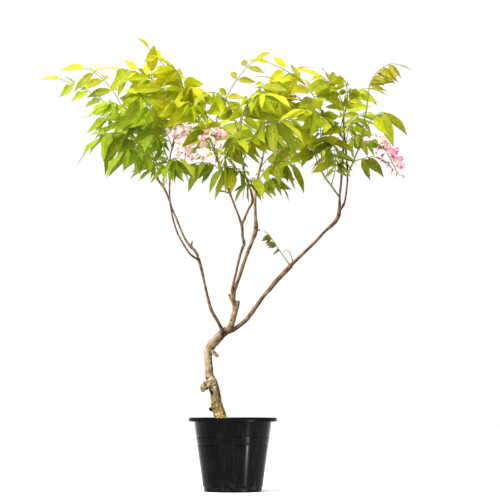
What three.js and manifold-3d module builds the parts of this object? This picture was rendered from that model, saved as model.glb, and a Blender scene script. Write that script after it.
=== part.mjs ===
// A wisteria trained as a small tree, in flower, standing in a round nursery pot.
// Millimetres, +Z up. The pot stands on Z = 0 with its centre on the Z axis, and -Y is the front.
import * as THREE from 'three';
import * as BufferGeometryUtils from 'three/addons/utils/BufferGeometryUtils.js';
import Module from 'manifold-3d';

const wasm = await Module();
wasm.setup();

// Driving dimensions
const POT_HEIGHT = 172;
const RIM_RADIUS = 102.5;
const MOUTH_RADIUS = 90.5;
const FOOT_RADIUS = 67;
const POT_WALL = 2.2;
const SOIL_BELOW_RIM = 20;
const SEAT_GAP = 0.3;
const POT_SEGMENTS = 32;
const POT_FLOOR = 5;
const DRAIN_HOLES = 6;
const DRAIN_RADIUS = 6;
const DRAIN_CIRCLE = 46;

const LEAFLET_SPACING = 37;
const LEAFLET_WIDTH = 0.36;
const BLADE_THICKNESS = 0.9;
const RIB_WIDTH = 2.6;
const RIB_THICKNESS = 1.5;
const BLADE_FOLD = 0.22;
const WIDEST_SHARE = 0.42;
const LEAFLET_SPLAY = 62;
const ANGLE_SPREAD = 16;
const LEAST_SAG = 0.1;
const SAG_SPREAD = 0.14;
const LEAST_LENGTH = 0.93;
const LENGTH_SPREAD = 0.14;
const CLEARANCE = 5;

// Every limb is a list of [x, y, z, radius] from its root to its end.
const WOODY_LIMBS = {
  trunk: { sides: 9, steps: 1, points: [
    [-9, 0, 72, 5], [-11, 0, 96, 10], [-15, 0, 122, 14], [-20, 0, 141, 15],
    [-29, 0, 174, 13.4], [-37, 0, 202, 12.6], [-41, -3, 229, 12.1], [-47, -4, 251, 12.3],
    [-54, -4, 268, 10.7], [-56, 0, 292, 9], [-58, 3, 312, 9.2], [-56, 4, 328, 10.5],
    [-48, 4, 343, 10.6], [-36, 2, 355, 10.4], [-23, 0, 369, 10], [-13, 0, 377, 9],
  ] },
  burl: { sides: 6, steps: 1, points: [
    [-50, -6, 252, 8], [-62, -9, 247, 8.5], [-69, -11, 241, 7.5], [-72, -12, 236, 4.5],
  ] },
  trunk_stub: { sides: 6, steps: 1, points: [
    [-52, 0, 331, 5], [-42, -5, 321, 4.2], [-34, -8, 313, 3.8],
  ] },
  trunk_nub: { sides: 5, steps: 1, points: [
    [-40, 0, 192, 4], [-49, -4, 191, 4], [-54, -5, 193, 2.6],
  ] },
  centre_stub: { sides: 8, steps: 1, points: [
    [-20, 0, 369, 8.6], [-7, 0, 381, 7.7], [-1, 0, 397, 6.9], [4, 0, 417, 6.9],
    [8, 0, 435, 7.4], [9, 0, 445, 7.4],
  ] },
  leader: { sides: 6, steps: 1, points: [
    [6, 0, 425, 4.2], [1, -6, 443, 4.9], [1, -8, 454, 5.4], [2, -8, 467, 5.6],
    [6, -2, 476, 4.5],
  ] },
  leader_stub: { sides: 5, steps: 1, points: [
    [3, -2, 440, 4], [-5, -3, 450, 3.2], [-9, -4, 460, 2.4],
  ] },
  left: { sides: 5, steps: 1, points: [
    [-16, -4, 367, 4.4], [-26, -10, 379, 4], [-37, -16, 399, 3.7], [-50, -22, 422, 3.8],
    [-60, -26, 459, 3], [-67, -28, 490, 2.9], [-72, -29, 513, 3.4], [-77, -30, 532, 3.6],
    [-81, -30, 542, 4.1],
  ] },
  left_smooth: { sides: 5, steps: 1, points: [
    [-80, -30, 539, 3], [-91, -38, 545, 2.4], [-103, -46, 556, 2.2], [-123, -56, 589, 2.1],
    [-133, -58, 613, 2.1], [-143, -52, 653, 2], [-147, -46, 696, 1.9], [-146, -46, 740, 1.8],
    [-145, -50, 780, 1.8], [-131, -58, 822, 1.8], [-122, -62, 847, 1.9], [-115, -66, 872, 1.7],
  ] },
  left_rough: { sides: 5, steps: 1, points: [
    [-79, -28, 534, 3], [-83, -22, 551, 2.9], [-91, -12, 563, 3.4], [-99, -6, 571, 3.4],
    [-113, 6, 591, 2.4], [-128, 20, 626, 2.4], [-134, 26, 641, 2.2], [-142, 32, 659, 2.2],
    [-159, 40, 705, 2.7], [-180, 48, 735, 3], [-187, 50, 749, 3.6], [-197, 52, 768, 2.7],
    [-204, 54, 783, 2.3],
  ] },
  left_rough_stub: { sides: 5, steps: 1, points: [
    [-97, -8, 569, 2.6], [-96, -9, 577, 2.2], [-95, -10, 583, 1.8],
  ] },
  slim: { sides: 5, steps: 1, points: [
    [1, -8, 455, 3.8], [-1, -14, 471, 3.3], [9, -32, 515, 2.9], [13, -38, 533, 2.9],
    [20, -46, 558, 3.1], [26, -50, 576, 4], [23, -54, 590, 3.1], [22, -58, 610, 3.4],
    [20, -60, 623, 3.8],
  ] },
  slim_left: { sides: 5, steps: 1, points: [
    [21, -58, 616, 3.3], [13, -66, 640, 2.4], [-2, -78, 678, 2.4], [-8, -84, 694, 2.7],
    [-21, -96, 729, 2.2], [-27, -100, 746, 2.6], [-35, -104, 767, 2.7], [-42, -108, 784, 2.1],
  ] },
  slim_left_twig: { sides: 5, steps: 1, points: [
    [-8, -83, 690, 2], [-22, -85, 694, 1.8], [-32, -86, 694, 1.9], [-34, -86, 688, 1.5],
  ] },
  slim_left_spur: { sides: 5, steps: 1, points: [
    [-8, -84, 697, 2], [1, -87, 707, 1.8], [5, -88, 714, 2.2],
  ] },
  slim_right: { sides: 5, steps: 1, points: [
    [21, -60, 618, 3], [26, -66, 629, 2.6], [36, -84, 651, 2.6], [46, -98, 672, 3.4],
    [39, -112, 702, 2.2], [32, -120, 719, 2.2], [25, -130, 742, 2.1], [20, -142, 778, 2.2],
    [16, -150, 800, 2.7], [13, -158, 828, 2.4],
  ] },
  stout: { sides: 5, steps: 1, points: [
    [2, -8, 465, 4.6], [6, -2, 476, 4], [16, 8, 503, 4], [27, 20, 538, 4],
    [45, 36, 586, 4.2], [52, 42, 605, 5.1], [54, 47, 622, 5.4], [53, 54, 642, 3.7],
    [52, 70, 682, 3.4], [55, 84, 716, 2.9], [62, 104, 755, 2.7], [71, 128, 795, 2.3],
    [77, 148, 825, 2],
  ] },
  stout_stub: { sides: 5, steps: 1, points: [
    [54, 46, 618, 3], [60, 42, 613, 2.6], [64, 40, 612, 2],
  ] },
  right: { sides: 6, steps: 1, points: [
    [-14, 2, 372, 6.3], [1, 6, 377, 5.4], [23, 12, 393, 4.9], [35, 15, 405, 5.2],
    [59, 22, 438, 4.7], [70, 26, 454, 4.3], [89, 30, 476, 5.1], [99, 32, 489, 5.7],
    [112, 34, 503, 5.2], [133, 38, 525, 5.7], [143, 39, 536, 4.1], [191, 46, 582, 3.4],
    [216, 48, 609, 3.3], [239, 48, 630, 4.5], [248, 46, 645, 4.7], [251, 44, 662, 4.4],
  ] },
  right_dark: { sides: 5, steps: 1, points: [
    [251, 44, 658, 3.7], [252, 56, 696, 2.7], [255, 62, 722, 2.7], [259, 66, 779, 2.8],
    [262, 60, 822, 3], [257, 58, 835, 2.2], [244, 54, 848, 2], [230, 50, 858, 1.9],
  ] },
  right_smooth: { sides: 5, steps: 1, points: [
    [252, 42, 660, 3.3], [259, 30, 670, 3], [264, 18, 686, 2.3], [268, -8, 732, 2.2],
    [265, -26, 781, 2.2], [262, -32, 809, 2.6], [259, -36, 833, 2], [257, -38, 862, 2],
  ] },
  tendril: { sides: 4, steps: 1, points: [
    [141, 39, 536, 1.6], [135, 34, 556, 1], [127, 30, 563, 0.9], [118, 27, 561, 0.8],
  ] },
};

// Green shoots of this year: each carries one or more leaves and is one body with them.
const GREEN_SHOOTS = {
  crown_shoot: { on: 'left_smooth', sides: 5, steps: 1, points: [
    [-115, -66, 870, 1.6], [-106, -69, 891, 1.6], [-98, -72, 912, 1.5],
  ] },
  far_left_shoot: { on: 'left_rough', sides: 5, steps: 1, points: [
    [-204, 54, 781, 1.9], [-213, 52, 800, 1.9], [-228, 48, 824, 1.8], [-243, 44, 842, 1.7],
  ] },
  centre_shoot: { on: 'slim_left', sides: 5, steps: 1, points: [
    [-42, -108, 782, 1.8], [-41, -104, 815, 1.6], [-36, -100, 862, 1.5],
  ] },
  twig_shoot: { on: 'right_dark', sides: 5, steps: 1, points: [
    [231, 50, 857, 1.8], [219, 49, 876, 1.7], [207, 48, 898, 1.6],
  ] },
  bare_right_shoot: { on: 'right_dark', sides: 5, steps: 1, points: [
    [252, 53, 690, 2], [243, 50, 702, 2.1], [231, 42, 718, 2.2], [220, 32, 731, 2.2],
    [209, 22, 748, 2], [199, 12, 765, 1.9],
  ] },
  long_right_shoot: { on: 'right_smooth', sides: 5, steps: 1, points: [
    [268, -10, 736, 1.9], [284, -26, 776, 1.8], [294, -36, 801, 1.8], [300, -46, 830, 1.7],
    [304, -52, 856, 1.6], [311, -58, 890, 1.6], [314, -60, 920, 1.5],
  ] },
};

// Each leaf leaves its limb at point number `at`, passes through `mid` and ends in a leaflet past `tip`.
// `bare` is the share of its stalk with no leaflets, `length` a leaflet's, `taper` its loss by the tip,
// `droop` its fall in degrees, and `turn` how far the leaf's upper side is turned to the front.
const LEAVES = [
  { name: 'leaf_crown', on: 'crown_shoot', at: 2, mid: [-142, -80, 966], tip: [-194, -88, 1026],
    bare: 0.1, length: 70, taper: 0.45, droop: 5, turn: 50 },
  { name: 'leaf_far_left', on: 'far_left_shoot', at: 3, mid: [-306, 30, 916], tip: [-404, 16, 966],
    bare: 0.2, length: 58, taper: 0.1, droop: 10, turn: 40 },
  { name: 'leaf_far_left_high', on: 'far_left_shoot', at: 2.4, mid: [-286, 74, 946], tip: [-350, 84, 1000],
    bare: 0.5, length: 62, taper: 0, droop: 30, turn: 40 },
  { name: 'leaf_left_upright', on: 'left_rough', at: 11.6, mid: [-196, 14, 872], tip: [-190, -18, 976],
    bare: 0.36, length: 92, taper: 0.1, droop: 8, turn: 0 },
  { name: 'leaf_left_low', on: 'left_rough', at: 10.2, mid: [-240, 6, 828], tip: [-306, -26, 828],
    bare: 0.4, length: 80, taper: 0, droop: 40, turn: 20 },
  { name: 'leaf_left_hanging', on: 'left_rough', at: 9.2, mid: [-198, -22, 790], tip: [-250, -92, 788],
    bare: 0.3, length: 78, taper: 0, droop: 58, turn: 0 },
  { name: 'leaf_limb_sprout', on: 'right', at: 9.2, mid: [104, 22, 571], tip: [84, 12, 600],
    bare: 0.6, length: 24, taper: 0, droop: 40, turn: 0, spacing: 15 },
  { name: 'leaf_left_back', on: 'left_rough', at: 8.8, mid: [-190, 112, 792], tip: [-236, 190, 846],
    bare: 0.3, length: 76, taper: 0.1, droop: 25, turn: 0 },
  { name: 'leaf_far_left_back', on: 'left_rough', at: 11, mid: [-250, 124, 856], tip: [-322, 176, 900],
    bare: 0.3, length: 72, taper: 0.2, droop: 20, turn: 20 },
  { name: 'leaf_left_front', on: 'left_rough', at: 10.8, mid: [-232, -46, 866], tip: [-282, -128, 894],
    bare: 0.4, length: 74, taper: 0.2, droop: 22, turn: 10 },
  { name: 'leaf_left_nearest', on: 'left_smooth', at: 7.5, mid: [-168, -96, 808], tip: [-186, -158, 818],
    bare: 0.35, length: 68, taper: 0, droop: 48, turn: 0 },
  { name: 'leaf_left_lit', on: 'left_smooth', at: 9.3, mid: [-118, -118, 910], tip: [-92, -176, 926],
    bare: 0.25, length: 82, taper: 0, droop: 42, turn: 0 },
  { name: 'leaf_left_inner', on: 'left_smooth', at: 8.4, mid: [-172, -122, 862], tip: [-216, -190, 906],
    bare: 0.3, length: 78, taper: 0.1, droop: 25, turn: 0 },
  { name: 'leaf_left_inner_low', on: 'left_smooth', at: 6.6, mid: [-146, -104, 758], tip: [-120, -160, 764],
    bare: 0.3, length: 80, taper: 0, droop: 55, turn: 0 },
  { name: 'leaf_left_high_back', on: 'left_smooth', at: 8.9, mid: [-146, 26, 900], tip: [-166, 110, 962],
    bare: 0.35, length: 82, taper: 0.1, droop: 12, turn: 30 },
  { name: 'leaf_left_high', on: 'left_smooth', at: 10, mid: [-170, -40, 944], tip: [-260, -34, 984],
    bare: 0.25, length: 86, taper: 0.1, droop: 10, turn: 25 },
  { name: 'leaf_left_yellow', on: 'left_smooth', at: 10.6, mid: [-114, -112, 930], tip: [-136, -150, 974],
    bare: 0.35, length: 88, taper: 0.1, droop: 12, turn: 25 },
  { name: 'leaf_centre_young', on: 'centre_shoot', at: 2, mid: [6, -96, 946], tip: [54, -90, 1000],
    bare: 0.28, length: 42, taper: 0, droop: 10, turn: 50 },
  { name: 'leaf_centre_left', on: 'slim_left', at: 6.5, mid: [-72, -160, 852], tip: [-98, -226, 884],
    bare: 0.3, length: 78, taper: 0.1, droop: 30, turn: 0 },
  { name: 'leaf_centre_left_back', on: 'slim_left', at: 5.2, mid: [-58, -40, 812], tip: [-96, 20, 852],
    bare: 0.3, length: 76, taper: 0.1, droop: 25, turn: 0 },
  { name: 'leaf_centre_left_low', on: 'slim_left', at: 4.2, mid: [-54, -110, 756], tip: [-98, -124, 752],
    bare: 0.35, length: 60, taper: 0, droop: 52, turn: 0 },
  { name: 'leaf_centre_middle', on: 'slim_left', at: 4.7, mid: [-8, -160, 780], tip: [14, -224, 800],
    bare: 0.35, length: 66, taper: 0, droop: 48, turn: 0 },
  { name: 'leaf_centre_front', on: 'slim_right', at: 7.8, mid: [32, -196, 878], tip: [76, -244, 902],
    bare: 0.35, length: 86, taper: 0.1, droop: 30, turn: 0 },
  { name: 'leaf_centre_crossing', on: 'slim_right', at: 8.45, mid: [-12, -190, 888], tip: [-50, -246, 904],
    bare: 0.3, length: 80, taper: 0.1, droop: 32, turn: 0 },
  { name: 'leaf_centre_top', on: 'slim_right', at: 9, mid: [38, -132, 900], tip: [88, -108, 944],
    bare: 0.3, length: 78, taper: 0.2, droop: 15, turn: 25 },
  { name: 'leaf_centre_low', on: 'slim_right', at: 5, mid: [6, -162, 742], tip: [-24, -208, 736],
    bare: 0.3, length: 72, taper: 0, droop: 55, turn: 0 },
  { name: 'leaf_centre_low_right', on: 'slim_right', at: 3.8, mid: [36, -140, 712], tip: [50, -196, 716],
    bare: 0.3, length: 70, taper: 0, droop: 55, turn: 0 },
  { name: 'leaf_centre_pale', on: 'slim_right', at: 6.4, mid: [60, -196, 826], tip: [108, -252, 842],
    bare: 0.35, length: 90, taper: 0, droop: 55, turn: 0 },
  { name: 'leaf_centre_right', on: 'slim_right', at: 7, mid: [76, -124, 836], tip: [146, -112, 858],
    bare: 0.3, length: 80, taper: 0.1, droop: 30, turn: 10 },
  { name: 'leaf_back_top', on: 'stout', at: 12, mid: [84, 138, 930], tip: [130, 122, 992],
    bare: 0.3, length: 80, taper: 0.1, droop: 15, turn: 20 },
  { name: 'leaf_back_centre', on: 'stout', at: 11.3, mid: [46, 196, 866], tip: [0, 256, 894],
    bare: 0.3, length: 78, taper: 0.1, droop: 25, turn: 0 },
  { name: 'leaf_back_right', on: 'stout', at: 10.3, mid: [118, 168, 822], tip: [176, 226, 846],
    bare: 0.3, length: 78, taper: 0.1, droop: 28, turn: 0 },
  { name: 'leaf_back_left', on: 'stout', at: 10.8, mid: [6, 96, 836], tip: [-56, 98, 882],
    bare: 0.35, length: 80, taper: 0.1, droop: 22, turn: 20 },
  { name: 'leaf_middle_low', on: 'stout', at: 9.2, mid: [92, 52, 768], tip: [136, 14, 768],
    bare: 0.35, length: 72, taper: 0, droop: 50, turn: 0 },
  { name: 'leaf_middle_lowest', on: 'stout', at: 8.2, mid: [78, 56, 728], tip: [100, 40, 734],
    bare: 0.45, length: 62, taper: 0, droop: 45, turn: 0 },
  { name: 'leaf_middle_high', on: 'stout', at: 11.7, mid: [86, 62, 880], tip: [116, -4, 916],
    bare: 0.4, length: 78, taper: 0.1, droop: 25, turn: 0 },
  { name: 'leaf_right_arch', on: 'twig_shoot', at: 2, mid: [162, 36, 962], tip: [88, 20, 1004],
    bare: 0.08, length: 96, taper: 0.4, droop: 5, turn: 40 },
  { name: 'leaf_right_arch_under', on: 'twig_shoot', at: 1, mid: [164, 8, 914], tip: [96, -18, 962],
    bare: 0.4, length: 58, taper: 0.1, droop: 40, turn: 0 },
  { name: 'leaf_right_crest', on: 'right_smooth', at: 6.3, mid: [248, -84, 912], tip: [206, -96, 958],
    bare: 0.35, length: 84, taper: 0.1, droop: 15, turn: 30 },
  { name: 'leaf_right_drooping', on: 'right_smooth', at: 7, mid: [266, -58, 930], tip: [246, -70, 966],
    bare: 0.4, length: 64, taper: 0.1, droop: 55, turn: 0 },
  { name: 'leaf_far_right_high', on: 'long_right_shoot', at: 6, mid: [328, -64, 964], tip: [366, -72, 992],
    bare: 0.3, length: 62, taper: 0.1, droop: 62, turn: 15 },
  { name: 'leaf_far_right', on: 'long_right_shoot', at: 2.8, mid: [332, -70, 872], tip: [360, -84, 872],
    bare: 0.4, length: 76, taper: 0, droop: 40, turn: 30 },
  { name: 'leaf_far_right_low', on: 'long_right_shoot', at: 0.8, mid: [304, -14, 776], tip: [326, -2, 782],
    bare: 0.5, length: 60, taper: 0, droop: 55, turn: 0 },
  { name: 'leaf_right_dark', on: 'right_dark', at: 3.7, mid: [284, 26, 832], tip: [310, 2, 836],
    bare: 0.4, length: 74, taper: 0, droop: 40, turn: 10 },
  { name: 'leaf_right_inner', on: 'bare_right_shoot', at: 5, mid: [180, -22, 800], tip: [146, -58, 808],
    bare: 0.3, length: 82, taper: 0, droop: 50, turn: 0 },
  { name: 'leaf_right_inner_high', on: 'bare_right_shoot', at: 4, mid: [206, -14, 826], tip: [200, -62, 884],
    bare: 0.4, length: 78, taper: 0.1, droop: 25, turn: 0 },
  { name: 'leaf_right_middle', on: 'bare_right_shoot', at: 2, mid: [240, -10, 768], tip: [226, -88, 822],
    bare: 0.45, length: 74, taper: 0, droop: 35, turn: 0 },
  { name: 'leaf_right_front', on: 'right_smooth', at: 5.2, mid: [222, -102, 856], tip: [160, -156, 878],
    bare: 0.35, length: 82, taper: 0.1, droop: 28, turn: 10 },
  { name: 'leaf_right_back', on: 'right_dark', at: 4.4, mid: [284, 124, 876], tip: [316, 190, 906],
    bare: 0.3, length: 76, taper: 0.1, droop: 25, turn: 0 },
  { name: 'leaf_right_back_low', on: 'right_dark', at: 2.5, mid: [244, 126, 790], tip: [230, 190, 812],
    bare: 0.35, length: 76, taper: 0.1, droop: 30, turn: 0 },
  { name: 'leaf_right_top', on: 'right_dark', at: 5.3, mid: [272, 72, 916], tip: [312, 84, 952],
    bare: 0.35, length: 68, taper: 0.1, droop: 30, turn: 20 },
];

// Each raceme leaves its limb at point number `at`, arches over and hangs.
// Its florets are open up to the share `open` of its stalk, and in bud beyond it.
const RACEMES = [
  { name: 'raceme_left', on: 'left_smooth', at: 8, florets: 12, open: 0.95, points: [
    [-134, -82, 820, 1.5], [-118, -112, 824, 1.4], [-108, -128, 800, 1.3], [-108, -132, 766, 1.1],
  ] },
  { name: 'raceme_centre_left', on: 'slim_left', at: 5.8, florets: 9, open: 0.95, points: [
    [-38, -124, 800, 1.5], [-42, -146, 818, 1.4], [-54, -156, 796, 1.3], [-70, -158, 756, 1.1],
  ] },
  { name: 'raceme_centre', on: 'stout', at: 11, florets: 9, open: 0.3, points: [
    [84, 76, 828, 1.5], [104, 30, 826, 1.4], [126, 2, 800, 1.3], [140, -8, 768, 1.1],
  ] },
  { name: 'raceme_right', on: 'long_right_shoot', at: 1.7, florets: 14, open: 0.55, points: [
    [308, -52, 812, 1.5], [326, -60, 810, 1.4], [346, -64, 799, 1.4], [360, -66, 780, 1.3],
    [372, -66, 757, 1.1], [384, -66, 734, 1],
  ] },
];

// Geometry helpers

const UP = new THREE.Vector3(0, 0, 1);
const radians = THREE.MathUtils.degToRad;
const vector = ([x, y, z]) => new THREE.Vector3(x, y, z);

/** Repeatable random numbers between 0 and 1. */
function randomSource(seed) {
  let state = seed;
  return () => {
    state = (Math.imul(1664525, state) + 1013904223) >>> 0;
    return state / 4294967296;
  };
}

/** A closed geometry as a solid that can be joined and cut. */
function toSolid(geometry) {
  const bare = geometry.clone();
  bare.deleteAttribute('normal');
  bare.deleteAttribute('uv');
  const merged = BufferGeometryUtils.mergeVertices(bare, 1e-4);
  return new wasm.Manifold(new wasm.Mesh({
    numProp: 3,
    vertProperties: merged.attributes.position.array,
    triVerts: new Uint32Array(merged.index.array),
  }));
}

/** A solid back as a geometry, with corners closer than the tolerance drawn together. */
function toGeometry(solid, tolerance = 0.1) {
  const mesh = solid.simplify(tolerance).getMesh();
  const geometry = new THREE.BufferGeometry();
  geometry.setAttribute('position', new THREE.BufferAttribute(mesh.vertProperties, 3));
  geometry.setIndex(new THREE.BufferAttribute(mesh.triVerts, 1));
  geometry.computeVertexNormals();
  return geometry;
}

/** An indexed geometry from a list of corners and a list of triangles. */
function indexed(corners, triangles) {
  const geometry = new THREE.BufferGeometry();
  const numbers = corners.flatMap((corner) => corner.toArray());
  geometry.setAttribute('position', new THREE.Float32BufferAttribute(numbers, 3));
  geometry.setIndex(triangles.flat());
  return geometry;
}

/** A point on the ring round a centre, at a share of the full turn. */
function onRing(centre, across, other, radius, share) {
  const angle = 2 * Math.PI * share;
  return centre.clone()
    .addScaledVector(across, radius * Math.cos(angle))
    .addScaledVector(other, radius * Math.sin(angle));
}

const curveThrough = (points) => new THREE.CatmullRomCurve3(points.map(vector), false, 'catmullrom', 0.5);

/** The place on a limb at a point number, which may lie between two points. */
function placeOn(points, number) {
  return curveThrough(points).getPoint(number / (points.length - 1));
}

/** A closed round tube along a limb's points, made wider and longer all over by `grow`. */
function limbTube({ points, sides, steps }, grow = 0) {
  const curve = curveThrough(points);
  const rings = (points.length - 1) * steps;
  const corners = [];
  const triangles = [];
  let across = new THREE.Vector3(1, 0, 0);
  for (let ring = 0; ring <= rings; ring++) {
    const share = ring / rings;
    const number = Math.min(ring / steps, points.length - 1);
    const lower = Math.min(Math.floor(number), points.length - 2);
    const radius = THREE.MathUtils.lerp(points[lower][3], points[lower + 1][3], number - lower) + grow;
    const along = curve.getTangent(share);
    const centre = curve.getPoint(share);
    if (ring === 0) centre.addScaledVector(along, -grow);
    if (ring === rings) centre.addScaledVector(along, grow);
    across = across.clone().addScaledVector(along, -across.dot(along)).normalize();
    const other = along.clone().cross(across);
    for (let side = 0; side < sides; side++) {
      corners.push(onRing(centre, across, other, radius, side / sides));
    }
  }
  for (let ring = 0; ring < rings; ring++) {
    for (let side = 0; side < sides; side++) {
      const next = (side + 1) % sides;
      const a = ring * sides + side;
      const b = ring * sides + next;
      triangles.push([a, b, b + sides], [a, b + sides, a + sides]);
    }
  }
  const last = rings * sides;
  for (let side = 1; side < sides - 1; side++) {
    triangles.push([0, side + 1, side], [last, last + side, last + side + 1]);
  }
  return indexed(corners, triangles);
}

const joined = (solids) => wasm.Manifold.union(solids);

/** The largest body of a solid, without the slivers that a cut leaves. */
function mainBody(solid) {
  const bodies = solid.decompose();
  return bodies.reduce((largest, body) => (body.volume() > largest.volume() ? body : largest));
}

// Room for the leaves: a leaflet is placed only where it stays clear of all that is there already

const occupied = new Map();
const cellOf = (p) => [p.x, p.y, p.z].map((value) => Math.floor(value / CLEARANCE));

function occupy(points) {
  for (const point of points) {
    const key = cellOf(point).join();
    if (!occupied.has(key)) occupied.set(key, []);
    occupied.get(key).push(point);
  }
}

function isClear(points) {
  return points.every((point) => {
    const [i, j, k] = cellOf(point);
    for (let di = -1; di <= 1; di++) {
      for (let dj = -1; dj <= 1; dj++) {
        for (let dk = -1; dk <= 1; dk++) {
          const near = occupied.get([i + di, j + dj, k + dk].join());
          if (near?.some((other) => other.distanceTo(point) < CLEARANCE)) return false;
        }
      }
    }
    return true;
  });
}

/** Points every few millimetres along a curve. */
function beadsAlong(curve, spacing = 4) {
  return curve.getPoints(Math.ceil(curve.getLength() / spacing));
}

// Leaves

const limbPoints = (name) => (WOODY_LIMBS[name] ?? GREEN_SHOOTS[name]).points;

/** The stalk of a leaf, from the middle of its limb through `mid` to `tip`. */
function leafStalk(leaf) {
  const root = placeOn(limbPoints(leaf.on), leaf.at);
  const mid = vector(leaf.mid);
  const tip = vector(leaf.tip);
  const control = mid.clone().multiplyScalar(2).addScaledVector(root, -0.5).addScaledVector(tip, -0.5);
  return new THREE.QuadraticBezierCurve3(root, control, tip);
}

/** Directions at a share of a stalk: along it, across it, and up from it, turned to the front by `turn`. */
function stalkFrame(stalk, share, turn) {
  const along = stalk.getTangent(share);
  const level = along.clone().cross(UP).normalize();
  const raised = level.clone().cross(along);
  const angle = radians(turn) * (level.y < 0 ? -1 : 1);
  const across = level.clone().multiplyScalar(Math.cos(angle)).addScaledVector(raised, Math.sin(angle));
  const up = across.clone().cross(along);
  return { place: stalk.getPoint(share), along, across, up };
}

/** Half the width of a leaflet at a share of its length, as a share of its greatest. */
const ovate = (share) => Math.sin(Math.PI * share ** 0.8) ** 0.85;

/** A leaflet's own directions and sizes, from which any point of its blade follows. */
function leafletAt(frame, side, { length, splay, droop, sag }) {
  const root = frame.place.clone().addScaledVector(frame.across, (side * RIB_WIDTH) / 2);
  const fallen = (direction) => direction.clone()
    .multiplyScalar(Math.cos(droop))
    .addScaledVector(frame.up, -Math.sin(droop));
  const outward = fallen(frame.across.clone().multiplyScalar(side));
  const forward = side === 0
    ? fallen(frame.along)
    : frame.along.clone().multiplyScalar(Math.cos(splay)).addScaledVector(outward, Math.sin(splay));
  const reference = side === 0 ? frame.across : frame.along;
  const wide = reference.clone().addScaledVector(forward, -reference.dot(forward)).normalize();
  const face = forward.clone().cross(wide);
  if (face.dot(frame.up) < 0) face.negate();
  return { root, forward, wide, face, length, sag, halfWidth: (length * LEAFLET_WIDTH) / 2 };
}

/** A point of the blade: `share` runs from root to tip and `edge` from -1 to 1 across. */
function bladePoint(leaflet, share, edge) {
  const { root, forward, wide, face, length, sag, halfWidth } = leaflet;
  const reach = halfWidth * ovate(share) * edge;
  return root.clone()
    .addScaledVector(forward, length * share)
    .addScaledVector(UP, -length * sag * share * share)
    .addScaledVector(wide, reach)
    .addScaledVector(face, Math.abs(reach) * BLADE_FOLD);
}

const ROOT_SHARE = 0.16;
const TIP_SHARE = 0.995;

/** Points all over a blade but its root, to test it for room. */
function bladeBeads(leaflet) {
  const rows = Math.round(leaflet.length / CLEARANCE);
  const beads = [];
  for (let row = Math.max(Math.ceil(rows * ROOT_SHARE), 2); row <= rows; row++) {
    const share = Math.min(row / rows, TIP_SHARE);
    const columns = Math.ceil((leaflet.halfWidth * ovate(share)) / CLEARANCE);
    for (let column = -columns; column <= columns; column++) {
      beads.push(bladePoint(leaflet, share, column / Math.max(columns, 1)));
    }
  }
  return beads;
}

const DROOP_TRIES = [0, 12, -12, 24, -24, 36, -36, 48];
const SHORTER_TRIES = [1, 0.82];
const MOST_DROOP = 66;
const TIP_DROOP = 0.5;

/** Chooses how each leaflet of a leaf hangs; one that finds no room is left out. */
function leafletsOf(leaf, random) {
  const stalk = leafStalk(leaf);
  const leafyLength = stalk.getLength() * (1 - leaf.bare);
  const pairs = Math.max(1, Math.round(leafyLength / (leaf.spacing ?? LEAFLET_SPACING)));
  const slots = [];
  for (let pair = 0; pair < pairs; pair++) {
    const share = leaf.bare + ((1 - leaf.bare) * pair) / (pairs - 0.2);
    for (const side of [-1, 1]) slots.push({ share, side });
  }
  slots.push({ share: 1, side: 0 });
  for (const slot of slots) {
    const splay = radians(LEAFLET_SPLAY + ANGLE_SPREAD * (random() - 0.5));
    const droop = leaf.droop + ANGLE_SPREAD * (random() - 0.5);
    const sag = LEAST_SAG + SAG_SPREAD * random();
    const usual = leaf.length * (1 - leaf.taper * slot.share);
    const length = usual * (LEAST_LENGTH + LENGTH_SPREAD * random());
    const frame = stalkFrame(stalk, slot.share, leaf.turn);
    const tries = SHORTER_TRIES.flatMap((shorter) => DROOP_TRIES.map((extra) => {
      const tried = Math.min(droop + extra, MOST_DROOP) * (slot.side === 0 ? TIP_DROOP : 1);
      return leafletAt(frame, slot.side, { length: length * shorter, splay, droop: radians(tried), sag });
    }));
    slot.leaflet = tries.find((leaflet) => isClear(bladeBeads(leaflet)));
    if (slot.leaflet) occupy(bladeBeads(slot.leaflet));
  }
  return { stalk, slots };
}

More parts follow.
